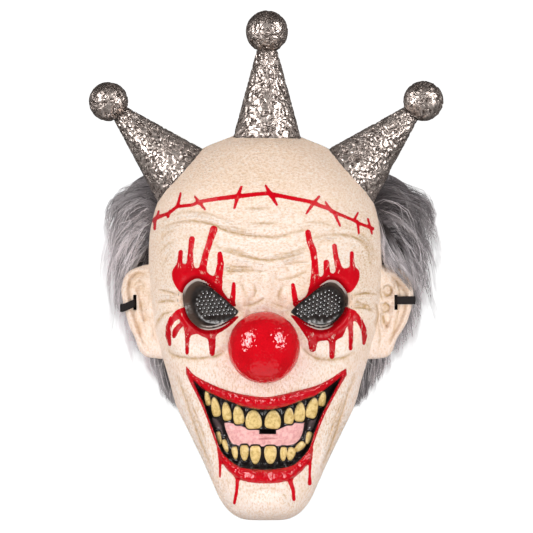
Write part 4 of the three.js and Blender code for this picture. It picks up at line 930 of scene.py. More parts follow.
def skin_marks(px, pz, eyes, lips, crease):
    """How strong the ochre wash and the speckles are, and the painted highlight on ridges and swellings."""
    wash = 0.16 * np.clip(crease / 0.6, 0, 1)
    for width, tall, _, line in FOLD_LINES:
        if tall < 0:
            gap = np.minimum(stroke_distance(px, pz, line), stroke_distance(-px, pz, line))
            wash += 0.13 * bell(gap, 1.4 * width)
    wash += 0.16 * bell(np.maximum(eyes, 0), 6.0) + 0.03 * bell(np.maximum(lips, 0), 4.0)
    dots = spots(px, pz, SPECKLED)
    # Painted highlight on the ridges beside the dents and on the swellings
    ridge_highlight = np.clip(-crease / 0.3, 0, 1) + spots(px, pz, HIGHLIGHT_PLACES)
    return np.clip(wash + 0.34 * dots, 0, 1), PLAIN_SPECKLE + dots, 0.75 * np.clip(ridge_highlight, 0, 1)


def lip_swell(lips, mouth):
    """How far the lips stand out between their outer edge and the mouth."""
    width = np.maximum(mouth - lips, 0.5)
    over = np.clip(-lips / width, 0, 1)
    swell = np.minimum(0.42 * width, LIP_SWELL) * np.sqrt(np.clip(4 * over * (1 - over), 0, 1))
    return np.where((lips < 0) & (mouth > 0), swell, 0)


def inner_skin(base, opening):
    """Points of the wall's inside on a coarser grid, and its faces outside the openings."""
    normal = np.cross(np.gradient(base, axis=1), np.gradient(base, axis=0))
    side, end = 8, 3
    normal[:, :side] = normal[:, side:side + 1]
    normal[:, -side:] = normal[:, -side - 1:-side]
    normal[:end] = normal[end]
    normal[-end:] = normal[-end - 1]
    normal /= np.linalg.norm(normal, axis=-1, keepdims=True)
    inner = (base - normal * WALL)[::INSIDE_STEP, ::INSIDE_STEP]
    hole = opening[::INSIDE_STEP, ::INSIDE_STEP] < 0.4
    faces = grid_quads(*hole.shape, flip=True)
    cut = hole.ravel()[faces].any(axis=1)
    rim = np.intersect1d(faces[cut], faces[~cut])
    flat = inner.reshape(-1, 3)
    flat[rim] = onto_openings(flat[rim])
    return flat.reshape(inner.shape), faces[~cut]


def face_skin():
    """Painted outside of the face on a fine grid, with its bare inside and the edge between them."""
    rows, columns = FACE_GRID
    along = np.linspace(0, ALONG[-1], rows)[:, None] + np.zeros((1, columns))
    across = np.linspace(-1, 1, columns)[None, :] + np.zeros((rows, 1))
    x, y, z, fade = head_point(section_at(along), np.sin(across * np.pi / 2))
    base = np.stack([x, y, z], -1)
    px, pz = seen(x, y, z)
    patches, drips, scar, chin, lips = paint_fields(px, pz)
    mouth = outline_distance(px, pz, MOUTH_OUTLINE)
    eyes = eye_distance(px, pz)
    line, line_dark, crease = wrinkle_fields(px, pz)
    wash, speckle, ridge_highlight = skin_marks(px, pz, eyes, lips, crease)
    red = np.minimum(merged(merged(patches, drips, 2.4), scar, 0.6), merged(lips, chin, 2.0))
    pit = MOUTH_TURN_IN * smoothstep(-mouth, -0.2, 2.6) + EYE_TURN_IN * smoothstep(-eyes, -0.6, 1.2)
    lid = LID_RISE * bell(eyes - 2.6, 1.9)
    raised = PAINT_RISE * smoothstep(-np.minimum.reduce([drips, scar, chin]), -0.5, 0.6)
    y = y - (lip_swell(lips, mouth) + lid + raised - crease) * fade + pit

    inner, back = inner_skin(base, np.minimum(mouth, eyes))
    points = np.concatenate([np.stack([x, y, z], -1).reshape(-1, 3), inner.reshape(-1, 3)])
    outside = np.arange(x.size).reshape(x.shape)
    inside = np.arange(x.size, len(points)).reshape(inner.shape[:2])
    front = grid_quads(rows, columns)
    front = front[~((mouth < -2.9) | (eyes < -1.2)).ravel()[front].all(axis=1)]
    quads = np.concatenate([front, back + x.size])
    tris = edges_between(outside, inside)
    specks = np.minimum.reduce([stroke_distance(px, pz, speck) for speck in SPECKS])
    worn = np.maximum(0.7 * smoothstep(-drips, -1.0, 0.4) * (pz > -34), 0.12 * smoothstep(-scar, -1, 0.3))
    # Red darkened towards the eye openings, painted shade where the lids turn in, and darker red over the
    # band under the eyes
    deep = smoothstep(-eyes, -3.4, 0.0) + 0.45 * smoothstep(-pz, -5, 20) * (np.abs(px) > 15) * (pz > -34)
    fields = {"red": red, "wash": wash, "worn": worn, "deep": np.clip(deep, 0, 1), "line": line,
              "line_dark": line_dark, "lip": smoothstep(-lips, -0.2, 1.0), "speckle": speckle, "ridge_highlight": ridge_highlight,
              "dark": np.minimum.reduce([mouth + 0.3, eyes + 1.2, specks])}
    attributes = with_back(fields, inside.size, red=CLEAR, line=CLEAR, dark=CLEAR)
    places = np.concatenate([np.zeros(len(front)), np.ones(len(back)), np.zeros(len(tris))])
    obj = mesh_object("painted_face", points, quads, tris, attributes, places)
    return place(obj, "face_shell", [skin_material(), inside_material()])


def ear_reach(z, side):
    return smooth_column(EAR[:, 0], EAR[:, 1 if side == "left" else 2], z)


def ear_depth(z, share):
    """Depth of the plain ear's front at a height and a share of the way from root to edge."""
    lean = EAR_ROOT_Y + (EAR_EDGE_Y - EAR_ROOT_Y) * share
    rolled = EAR_ROLL * bell(share - 0.86, 0.13)
    hollow = EAR_HOLLOW * bell(z - 1, 18) * bell(share - 0.42, 0.16)
    return lean - rolled + hollow


def ear_grid(side):
    """Sideways place, height and share of the way out on an ear's grid, with the slot's rows and columns."""
    rows, columns = EAR_GRID
    low, high = EAR[0, 0], EAR[-1, 0]
    levels = (low + high) / 2 - (high - low) / 2 * np.cos(np.pi * np.linspace(0, 1, rows))
    slot_low, slot_high = EAR_SLOT_Z - EAR_SLOT_HEIGHT / 2, EAR_SLOT_Z + EAR_SLOT_HEIGHT / 2
    row_low, row_high = np.argmin(np.abs(levels - slot_low)), np.argmin(np.abs(levels - slot_high))
    levels[row_low], levels[row_high] = slot_low, slot_high
    root = half_width_at(levels) - EAR_ROOT_DEPTH
    span = np.maximum(ear_reach(levels, side), root + 4) - root
    even = np.linspace(0, 1, columns)
    near = (EAR_SLOT_X - EAR_SLOT_WIDTH / 2 - root) / span
    far = (EAR_SLOT_X + EAR_SLOT_WIDTH / 2 - root) / span
    middle = (row_low + row_high) // 2
    first, last = np.argmin(np.abs(even - near[middle])), np.argmin(np.abs(even - far[middle]))
    pull = smoothstep(-np.abs(levels - EAR_SLOT_Z), -EAR_SLOT_HEIGHT / 2 - 5, -EAR_SLOT_HEIGHT / 2 - 0.1)
    share = np.array([even + (np.interp(even, [0, even[first], even[last], 1], [0, a, b, 1]) - even) * w
                      for a, b, w in zip(near, far, pull)])
    x = root[:, None] + span[:, None] * share
    return x, levels[:, None] + np.zeros((1, columns)), share, (row_low, row_high, first, last)


def ear_faces(slot, sign):
    """Faces of an ear's front, back, rim and slot."""
    rows, columns = EAR_GRID
    row_low, row_high, first, last = slot
    start = rows * columns
    cell_row, cell_column = np.divmod(np.arange((rows - 1) * (columns - 1)), columns - 1)
    solid = ~((cell_row >= row_low) & (cell_row < row_high) & (cell_column >= first) & (cell_column < last))
    quads = [grid_quads(rows, columns, flip=sign < 0)[solid],
             grid_quads(rows, columns, start, flip=sign > 0)[solid]]
    index = np.arange(start).reshape(rows, columns)
    upright = slice(row_low, row_high + 1)
    level = slice(first, last + 1)
    for rim, flip in ((index[:, -1], False), (index[0], True), (index[-1], False), (index[:, 0], True),
                      (index[upright, first], False), (index[upright, last], True),
                      (index[row_low, level], True), (index[row_high, level], False)):
        strip = np.stack([rim[:-1], rim[:-1] + start, rim[1:] + start, rim[1:]], -1)
        quads.append(strip[:, ::-1] if flip != (sign < 0) else strip)
    return np.concatenate(quads)


def ear(side, skin):
    """Ear flap with a rolled edge, hollows, folds and a strap slot, closed all round."""
    sign = SIGN[side]
    x, z, share, slot = ear_grid(side)
    front = ear_depth(z, share)
    px, pz = seen(sign * x, front, z)
    relief = np.zeros(x.shape)
    wash = np.zeros(x.shape)
    for width, tall, path in EAR_FOLDS[side]:
        fold = curve_through(path, 5) if len(path) > 2 else path
        near_line = bell(np.maximum(stroke_distance(px, pz, fold, 12.0), 0), width)
        relief += 0.9 * tall * near_line
        wash += -0.18 * min(tall, 0) * near_line
    relief += LOBE_SWELL * bell(share - 0.55, 0.3) * bell(z + 24, 8)
    line, line_dark, dent = wrinkle_fields(px, pz)
    front = front - (relief - dent) * smoothstep(share, 0.02, 0.2)
    low, high = EAR[0, 0], EAR[-1, 0]
    ends = np.minimum(1 - share ** 10, 1) * np.clip(1 - np.abs(2 * (z - low) / (high - low) - 1) ** 14, 0, 1)
    full = np.sqrt(np.clip(ends, 0, 1))
    thick = EAR_THIN + EAR_SWELL * full + np.clip(relief, 0, 3)
    front = front + 1.2 * (1 - full)
    points = np.concatenate([np.stack([sign * x, y, z], -1).reshape(-1, 3) for y in (front, front + thick)])
    unpainted = np.full(x.size, CLEAR)
    fields = {"red": unpainted, "dark": unpainted, "line": line, "line_dark": line_dark,
              "wash": np.clip(wash, 0, 0.9)}
    fields.update({name: np.zeros(x.size) for name in ("worn", "deep", "lip", "speckle", "ridge_highlight")})
    attributes = with_back(fields, x.size, red=CLEAR, dark=CLEAR, line=CLEAR)
    obj = mesh_object(f"ear_{side}", points, ear_faces(slot, sign), attributes=attributes)
    return place(obj, "face_shell", skin, replaces=False)


def unseen(px, pz, sink, rounds=3):
    """Point of the frame behind a point of the picture, at a depth below the face."""
    x, z = np.array(px, float), np.array(pz, float)
    for _ in range(rounds):
        y = face_depth(x, z) + sink
        scale = VIEW_DISTANCE / (VIEW_DISTANCE + y)
        x, z = VIEW_X + (px - VIEW_X) / scale, VIEW_Z + (pz - VIEW_Z) / scale
    return np.stack([x, y, z], -1)


def teeth_fields(px, pz):
    """Distance inside the nearest tooth's edge, and the heights of the teeth and of the gums round them."""
    edge = np.full(px.shape, -CLEAR)
    rise = np.zeros(px.shape)
    gum = np.zeros(px.shape)
    for i, (tooth_x, tooth_z, half_width, half_height, lean) in enumerate(TEETH):
        c, s = math.cos(math.radians(lean)), math.sin(math.radians(lean))
        u = (px - tooth_x) * c - (pz - tooth_z) * s
        v = (px - tooth_x) * s + (pz - tooth_z) * c
        rootward = v / half_height * (1 if i < UPPER_TEETH else -1)
        narrow = half_width * (1.04 - 0.26 * smoothstep(rootward, -0.4, 1.1))
        power = 2.3 + 1.6 * smoothstep(-rootward, -0.1, 0.8)
        q = (np.abs(u / narrow) ** power + np.abs(v / half_height) ** power) ** (1 / power)
        edge = np.maximum(edge, (1 - q) * min(half_width, half_height))
        rise = np.maximum(rise, TOOTH_RISE * np.clip(1 - q ** 5, 0, 1) ** 0.6)
        gum = np.maximum(gum, GUM_RISE * bell(q - 1.2, 0.22))
    return edge, rise, gum


def mouth_pit():
    """Sunken mouth: gums with raised teeth, a tongue and a breathing slot on one fine sheet."""
    rows, columns = MOUTH_GRID
    left, right = MOUTH_TOP[0][0], MOUTH_TOP[-1][0]
    across = np.sin(np.linspace(-1, 1, columns) * np.pi / 2)[None, :]
    px = (left + right) / 2 + ((right - left) / 2 + 0.6) * across
    top = np.interp(px, MOUTH_TOP_LINE[:, 0], MOUTH_TOP_LINE[:, 1]) + MOUTH_MARGIN
    low = np.interp(px, MOUTH_LOW_LINE[:, 0], MOUTH_LOW_LINE[:, 1]) - MOUTH_MARGIN
    pz = low + (top - low) * np.linspace(0, 1, rows)[:, None]
    px = px + 0 * pz
    inside = -outline_distance(px, pz, MOUTH_OUTLINE)
    collar = smoothstep(-inside, 0.5, 1.2)
    tooth, rise, gum = teeth_fields(px, pz)
    tongue = outline_distance(px, pz, curve_through(TONGUE, 6, closed=True))
    slot = np.maximum(np.abs(px - SLOT_X) - SLOT_HALF_WIDTH, np.abs(pz - SLOT_Z) - SLOT_HALF_HEIGHT)
    across_slot = smoothstep(SLOT_HALF_WIDTH - np.abs(px - SLOT_X), -1.5, 1.5)
    below = pz - SLOT_Z + 3.9
    height = -MOUTH_DEPTH - 0.6 * smoothstep(inside, 2, 8)
    height += TONGUE_RISE * smoothstep(-tongue, -0.4, 5.0) + np.where(tongue > 0, gum, 0.3 * gum) + rise
    height += (MOUTH_DEPTH - WALL - 0.5) * collar - SLOT_DEPTH * smoothstep(-slot, -0.2, 0.5)
    height += across_slot * (0.8 * bell(below, 0.8) - 0.5 * bell(below + 1.4, 0.5))
    front = unseen(px, pz, -height, rounds=2)

    back = front[::MOUTH_BACK_STEP, ::MOUTH_BACK_STEP].copy()
    behind = MOUTH_DEPTH + MOUTH_FLOOR + 5.5 * smoothstep(-slot, -2.0, -1.0)
    behind = (behind + (WALL + 1.5 - behind) * collar)[::MOUTH_BACK_STEP, ::MOUTH_BACK_STEP]
    back[..., 1] = face_depth(back[..., 0], back[..., 2]) + behind
    points = np.concatenate([front.reshape(-1, 3), back.reshape(-1, 3)])
    start = rows * columns
    quads = [grid_quads(rows, columns), grid_quads(*behind.shape, start, flip=True)]
    tris = edges_between(np.arange(start).reshape(rows, columns),
                         np.arange(start, len(points)).reshape(behind.shape))
    cheek = np.minimum.reduce([stroke_distance(px, pz, c) for c in CHEEKS_INSIDE])
    fields = {"tooth": tooth, "tongue": tongue, "slot": slot, "line": across_slot * bell(below + 0.2, 0.35),
              "cheek": smoothstep(-cheek, -1.0, 0.6)}
    attributes = with_back(fields, behind.size, tooth=-CLEAR, tongue=CLEAR, slot=CLEAR)
    obj = mesh_object("mouth_pit", points, np.concatenate(quads), tris, attributes)
    return place(obj, "mouth_insert", mouth_material())


def ball_nose():
    """Round nose with a faintly uneven skin, sunk into the face."""
    rows, columns = NOSE_GRID
    middle = np.array([NOSE_X, NOSE_Y, NOSE_Z])
    angle = np.linspace(0, 2 * np.pi, columns, endpoint=False)

    def direction_at(turn):
        return np.stack([np.sin(turn) * np.cos(angle), -np.cos(turn) + 0 * angle,
                         np.sin(turn) * np.sin(angle)], -1)

    def in_front(turn):
        x, y, z = (direction_at(turn) * NOSE_RADIUS + middle).T
        return y <= face_depth(x, z) + 0.6 * WALL

    edge = furthest(np.full(columns, 0.4 * np.pi), np.full(columns, 0.8 * np.pi), in_front)
    direction = direction_at(np.linspace(0, 1, rows)[:, None] * edge)
    wobble = fractal(direction.reshape(-1, 3), 2.2, 3, 4.0).reshape(rows, columns)
    points = middle + direction * (NOSE_RADIUS + 0.25 * wobble[..., None])
    obj = mesh_object("round_nose", points.reshape(-1, 3), grid_quads(rows, columns, wrap=True, flip=True))
    return place(obj, "nose", nose_material())


def hole_rims(side, centre, edge):
    """Rims of the small holes in a cup's floor, in leaning staggered rows."""
    lean = math.radians(EYE_GRID_LEAN[side])
    turn = np.arange(HOLE_SIDES) / HOLE_SIDES * 2 * math.pi
    ring = HOLE_RADIUS * np.stack([np.cos(turn), np.sin(turn)], -1)
    rims = []
    for row in range(-9, 10):
        for column in range(-10, 11):
            u, v = HOLE_PITCH * (column + 0.5 * (row % 2)), HOLE_PITCH * HOLE_ROW_STEP * row
            spot = centre + (u * math.cos(lean) - v * math.sin(lean), u * math.sin(lean) + v * math.cos(lean))
            if outline_distance(spot[:1], spot[1:], edge)[0] < -1.0 and spot[1] > HOLE_LOWEST:
                rims.append(spot + ring)
    return rims


def pierced_floor(edge, rims):
    """Flat points and faces of a floor with holes, and the point numbers of each hole's rim."""
    flat = np.concatenate([edge] + rims)
    edges, begin = [], 0
    for loop in [edge] + rims:
        edges += [(begin + i, begin + (i + 1) % len(loop)) for i in range(len(loop))]
        begin += len(loop)
    verts, _, faces, *_ = delaunay_2d_cdt([Vector(p) for p in flat], edges, [], 0, 1e-6)
    verts = np.array([(v.x, v.y) for v in verts])
    faces = np.array(faces)
    middle = verts[faces].mean(axis=1)
    solid = outline_distance(middle[:, 0], middle[:, 1], edge) < 0
    for rim in rims:
        solid &= np.hypot(*(middle - rim.mean(axis=0)).T) > HOLE_RADIUS * 0.98
    lines = [np.array([np.argmin(np.hypot(*(verts - p).T)) for p in rim]) for rim in rims]
    return verts, faces[solid], lines


def eye_cup(side, material):
    """Dark cup in an eye opening: a sloping wall with a pale lid, lower ridged lines painted pale as painted
    highlights, and a pierced floor.
    """
    floor = curve_through(EYE_FLOORS[side], 5, closed=True)
    centre = floor.mean(axis=0)
    outline = EYES[side]
    turns = np.arctan2(outline[:, 1] - centre[1], outline[:, 0] - centre[0])
    floor_turns = np.arctan2(floor[:, 1] - centre[1], floor[:, 0] - centre[0])
    order = np.argsort(floor_turns)
    floor_reach = np.interp(turns, floor_turns[order], np.linalg.norm(floor - centre, axis=1)[order],
                            period=2 * np.pi)
    reach = np.linalg.norm(outline - centre, axis=1)
    outward = (outline - centre) / reach[:, None]

    def towards(degrees, half_range):
        """Mask of the part of the wall that lies in one direction, given for the left eye."""
        along = np.cos(turns - math.radians(degrees if side == "left" else 180 - degrees))
        return smoothstep(along, math.cos(math.radians(half_range)), math.cos(math.radians(half_range * 0.6)))

    lid, low = towards(112, 48), towards(292, 62)
    rings, pale, brown = [], [], []
    for t in np.linspace(-0.12, 1, 29):
        step = max(t, 0)
        ring = centre + outward * (reach + (floor_reach - reach) * t)[:, None]
        inward = step * (reach - floor_reach)
        # Shallow ridges along the lower wall, painted pale as painted highlights
        lit_stripes = low * sum(smoothstep(-np.abs(inward - stripe), -0.7, -0.25) for stripe in (0.6, 2.5))
        sink = CUP_SINK + CUP_DEPTH * math.sin(step * math.pi / 2) ** 1.2 - 0.45 * lit_stripes
        rings.append(unseen(ring[:, 0], ring[:, 1], sink))
        pale.append(np.clip(lid * smoothstep(-inward, -2.2, -1.5) + lit_stripes, 0, 1))
        brown.append(np.full(len(ring), float(smoothstep(-step, -0.85, -0.35))))
    edge = centre + outward * floor_reach[:, None]
    verts, faces, lines = pierced_floor(edge, hole_rims(side, centre, edge))
    start, span = len(rings) * len(outline), len(verts)
    front = unseen(verts[:, 0], verts[:, 1], CUP_SINK + CUP_DEPTH)
    back = unseen(verts[:, 0], verts[:, 1], CUP_SINK + CUP_DEPTH + CUP_FLOOR)
    quads = [grid_quads(len(rings), len(outline), wrap=True)]
    for line in lines:
        after = np.roll(line, -1)
        quads.append(np.stack([line, line + span, after + span, after], -1) + start)
    tris = np.concatenate([faces, faces[:, ::-1] + span]) + start
    attributes = with_back({"pale": np.concatenate(pale), "brown": np.concatenate(brown)}, 2 * span)
    points = np.concatenate(rings + [front, back])
    obj = mesh_object(f"eye_cup_{side}", points, np.concatenate(quads), tris, attributes)
    return place(obj, f"eye_insert_{side}", material)


def horn_frame(row):
    """Foot and the three directions of a horn: two across it and one along it."""
    x, y, z, _, tilt = row[1:6]
    turn = math.radians(tilt)
    along = np.array([math.sin(turn), 0, math.cos(turn)])
    across = np.array([math.cos(turn), 0, -math.sin(turn)])
    return np.array([x, y, z]), across, np.array([0.0, 1.0, 0.0]), along


def inside_head(p):
    """True where a point lies in the head or behind its outline."""
    x, y, z = p[..., 0], p[..., 1], p[..., 2]
    section = section_at_height(z)
    within = (np.abs(x) < section[1]) & (z < SECTIONS[-1, 0])
    return within & (y > head_point(section, np.clip(x / section[1], -0.999, 0.999))[1])


def horn(row, material):
    """Hollow cone of crinkled foil, its foot cut to the head."""
    side, length = row[0], row[4]
    foot, across, back, along = horn_frame(row)
    rows, columns = HORN_GRID
    angle = np.linspace(0, 2 * np.pi, columns, endpoint=False)
    slope = (HORN_BASE - row[6]) / length
    direction = np.cos(angle)[:, None] * across + np.sin(angle)[:, None] * back

    def at(height, thin=0.0):
        radius = HORN_BASE - slope * height - thin
        return foot + direction * radius[:, None] + along * height[:, None]

    cut = furthest(np.full(columns, -14.0), np.full(columns, 30.0), lambda height: inside_head(at(height)))
    cut = cut - HORN_SINK
    levels = np.linspace(0, 1, rows)
    outer = np.concatenate([at(cut + (length - cut) * t) for t in levels])
    inner = np.concatenate([at(cut + (length - 3 - cut) * t, HORN_WALL)
                            for t in np.linspace(0, 1, HORN_INNER_ROWS)])
    crinkle = foil_crinkle(outer, row[1])
    rise = np.repeat(levels, columns) * length
    outer = outer + np.tile(direction, (rows, 1)) * (FOIL_DEPTH * (crinkle - 0.4))[:, None]
    flank = np.tile(smoothstep(np.sin(angle), -0.75, 0.15), rows)
    shade = np.maximum.reduce([0.85 * bell(rise, 2.0), 0.8 * bell(length - rise, 2.2),
                               0.45 * flank, 0.42 * (1 - smoothstep(crinkle, 0.05, 0.40))])
    points = np.concatenate([outer, inner, [foot + along * (length + 0.2)]])
    start = rows * columns
    i = np.arange(columns)
    n = (i + 1) % columns
    quads = [grid_quads(rows, columns, wrap=True),
             grid_quads(HORN_INNER_ROWS, columns, start, wrap=True, flip=True),
             np.stack([i, start + i, start + n, n], -1)]
    tris = fan(start - columns, columns, len(points) - 1)
    shades = with_back({"shade": shade}, len(inner) + 1, shade=0.6)
    obj = mesh_object(f"foil_horn_{side}", points, np.concatenate(quads), tris, shades)
    return place(obj, f"horn_{side}", material)


def horn_ball(row, material):
    """Crinkled foil ball on a horn's tip."""
    side, length, size = row[0], row[4], row[7]
    foot, across, back, along = horn_frame(row)
    centre = foot + along * (length + GAP + size - BALL_SINK)
    rows, columns = BALL_GRID
    turn = np.linspace(0.001, np.pi - BALL_OPEN, rows)[:, None]
    angle = np.linspace(0, 2 * np.pi, columns, endpoint=False)[None, :]
    direction = ((np.sin(turn) * np.cos(angle))[..., None] * across
                 + (np.sin(turn) * np.sin(angle))[..., None] * back
                 + (np.cos(turn) + 0 * angle)[..., None] * along).reshape(-1, 3)
    crinkle = foil_crinkle(direction * size, row[1] + 31)
    points = centre + direction * (size + FOIL_DEPTH * 0.7 * (crinkle - 0.6))[:, None]
    seat = np.repeat(0.8 * bell(np.pi - BALL_OPEN - turn[:, 0], 0.22), columns)
    shade = np.maximum.reduce([seat, 0.6 * smoothstep(direction[:, 1], -0.72, 0.1),
                               0.7 * smoothstep(direction[:, 2], 0.15, 0.7),
                               0.5 * (1 - smoothstep(crinkle, 0.05, 0.40))])
    obj = mesh_object(f"foil_ball_{side}", points, grid_quads(rows, columns, wrap=True, flip=True),
                      attributes={"shade": shade})
    return place(obj, f"horn_ball_{side}", material)


def strap_line(side):
    """Middle line of half the strap: up through the slot, over the ear and round the head."""
    start_level, level = STRAP_LEVEL[side]
    edge = float(ear_reach(EAR_SLOT_Z, side))
    root = float(half_width_at(EAR_SLOT_Z)) - EAR_ROOT_DEPTH
    lift = GAP + 0.3 + STRAP_THICKNESS / 2

    def over(x):
        return float(ear_depth(EAR_SLOT_Z, (x - root) / (edge - root))) - lift

    start = EAR_SLOT_X
    line = [(start, over(start) + WALL + 4.6), (start, over(start) + 1.6), (start + 0.5, over(start) + 0.2),
            (start + 1.6, over(start + 1.6)), (start + 4.5, over(start + 4.5)), (edge - 1, over(edge - 1)),
            (edge + 0.9, over(edge) + 0.6), (edge + 1.6, over(edge) + 3), (edge + 1.4, over(edge) + 6)]
    line = [(x, y - STRAP_CLEARANCE, float(np.interp(x, [start, edge], [start_level, level])))
            for x, y in line]
    behind = line[-1][1] + 8
    for turn in np.linspace(0, np.pi / 2, 24):
        line.append(((edge + 0.4) * max(math.cos(turn), 0.0) ** 0.9,
                     behind + (STRAP_REACH - behind) * math.sin(turn),
                     level + (STRAP_BACK - level) * math.sin(turn) ** 2))
    return np.array(line)


def strap():
    """Woven elastic band standing on edge, with rounded edges and a ribbed face."""
    line = np.vstack([strap_line("left") * (SIGN["left"], 1, 1), strap_line("right")[-2::-1]])
    line = curve_through(line, 3)
    ahead = np.gradient(line[:, :2], axis=0)
    ahead /= np.linalg.norm(ahead, axis=1, keepdims=True)
    out = np.stack([-ahead[:, 1], ahead[:, 0]], -1)
    section = []
    for turn in np.linspace(0, 2 * np.pi, 20, endpoint=False):
        c, s = math.cos(turn), math.sin(turn)
        section.append((math.copysign(abs(c) ** 0.35, c) * STRAP_THICKNESS / 2,
                        math.copysign(abs(s) ** 0.6, s) * STRAP_WIDTH / 2))
    rows, columns = len(line), len(section)
    points = np.zeros((rows, columns, 3))
    for k, (t, w) in enumerate(section):
        points[:, k, :2] = line[:, :2] + out * t
        points[:, k, 2] = line[:, 2] + w
    quads = grid_quads(rows, columns, wrap=True)
    flat = np.concatenate([points.reshape(-1, 3), line[[0, -1]]])
    tris = np.concatenate([fan(0, columns, len(flat) - 2)[:, [1, 0, 2]],
                           fan((rows - 1) * columns, columns, len(flat) - 1)])
    obj = mesh_object("elastic_strap", flat, quads, tris)
    return place(obj, "head_strap", strap_material())


def lock_path(root_z, reach, drop, lift, y, steps, flare=0.0):
    """Path that swells out of the head's edge at a height, bends over and hangs down its side."""
    heights = np.array([root_z, root_z + lift - 0.1 * drop, root_z + lift - 0.45 * drop, root_z - drop])
    out = np.array([0.0, 0.4 - 0.08 * flare, 0.85 - 0.2 * flare, 0.95 + 0.1 * flare])
    x = half_width_at(heights) - 2 + (2 + reach) * out
    path = np.stack([x, y + np.array([0.0, 1.0, 1.0, 0.0]), heights], -1)
    return curve_through(path, steps)


def lock_sizes(root_z):
    """Reach, drop, lift, distance behind the edge and thickness of a lock with its root at a height."""
    return [np.interp(root_z, LOCKS[::-1, 0], LOCKS[::-1, i]) for i in range(1, 6)]


def shaded_hair_mass(side, material):
    """Soft body under the hair, lock by lock, its dark colour painted shade of the hair's inside."""
    sign = SIGN[side]
    points, quads, begin = [], [], 0
    sides = 14
    for root_z, reach, drop, lift, behind, thick in LOCKS:
        rim = section_at_height(np.array([root_z]))[3][0]
        path = lock_path(root_z, reach * 0.72 * HAIR_SPREAD[side], drop * 0.8, lift * 0.8, rim + behind, 6)
        share = np.linspace(0, 1, len(path))
        radius = 0.8 * thick * np.sqrt(np.clip(1.02 - share ** 2, 0.02, 1))
        points.append(tube(path, radius, sides, sign, squash=0.8))
        quads.append(grid_quads(len(path), sides, begin, wrap=True, flip=sign < 0))
        begin += len(path) * sides
    obj = mesh_object(f"hair_shaded_mass_{side}", np.concatenate(points), np.concatenate(quads))
    return place(obj, f"hair_{side}", material, replaces=False)


def strand_mesh(name, strands, sign):
    """One mesh of three-sided tapered strands, each a path, a radius and a tone."""
    points, quads, tone, along = [], [], [], []
    sides, begin = 3, 0
    for path, thick, shade in strands:
        share = np.linspace(0, 1, len(path))
        points.append(tube(path, thick * (1 - 0.82 * share ** 1.5), sides, sign))
        quads.append(grid_quads(len(path), sides, begin, wrap=True, flip=sign < 0))
        begin += sides * len(path)
        tone.append(np.full(sides * len(path), shade))
        along.append(np.repeat(share, sides))
    return mesh_object(name, np.concatenate(points), np.concatenate(quads),
                       attributes={"tone": np.concatenate(tone), "along": np.concatenate(along)})


def hair_over_ear(material):
    """Locks of the right side that fall over the top of the ear."""
    strands = []
    for _ in range(LOCKS_OVER_EAR):
        end_x = RNG.uniform(79, 101)
        end_z = 31 - (end_x - 80) + RNG.uniform(-1.5, 8)
        top_z = end_z + RNG.uniform(16, 36)
        top_x = max(float(half_width_at(top_z)) - 1, end_x - RNG.uniform(9, 22))
        bow_x, bow_z = RNG.normal(0.6, 1.2), RNG.normal(1.5, 1.5)
        lock_tone = RNG.uniform() ** 1.2
        before = RNG.uniform(0, 2)
        share = np.linspace(0, 1, 7)
        bow = np.sin(share * np.pi)
        for _ in range(STRANDS_PER_LOCK):
            x = top_x + (end_x - top_x) * share + bow_x * bow
            x = x + RNG.normal(0, 0.7) + RNG.normal(0, 0.5) * share
            z = top_z + (end_z - top_z) * share + bow_z * bow + RNG.normal(0, 1.0) * share
            y = ear_depth(z, np.clip((x - 71.5) / 25.5, 0, 1)) - 3.2 - before - RNG.uniform(0, 0.8)
            y = 3 + (y - 3) * smoothstep(share, 0.0, 0.55)
            tone = np.clip(0.8 * lock_tone + 0.3 * RNG.uniform(), 0, 1)
            strands.append((np.stack([x, y, z], -1), RNG.uniform(0.13, 0.26), tone))
    obj = strand_mesh("hair_right_over_ear", strands, SIGN["right"])
    return place(obj, "hair_right", material, replaces=False)


def random_lock():
    """Draws that all strands of a lock share."""
    lock = SimpleNamespace(
        z=HAIR_TOP - HAIR_SPAN * RNG.uniform() ** 1.35,
        reach=1.07 - 0.6 * RNG.uniform() ** 1.5,
        flare=RNG.uniform(0, 1.2),
        drop=RNG.uniform(0.45, 1.15),
        side=RNG.uniform(-1.0, 1.05),
        y=RNG.uniform(-9, 8),
        tone=1.0 if RNG.uniform() < BRIGHT_LOCKS else 0.85 * RNG.uniform() ** 1.3,
        lift=RNG.normal(0, 1.6),
        wave=RNG.uniform(0, 2 * np.pi))
    lock.loose = RNG.uniform() < LOOSE_LOCKS and lock.z < 60
    lock.longer = RNG.uniform(1.08, 1.25) if lock.loose else 1.0
    return lock


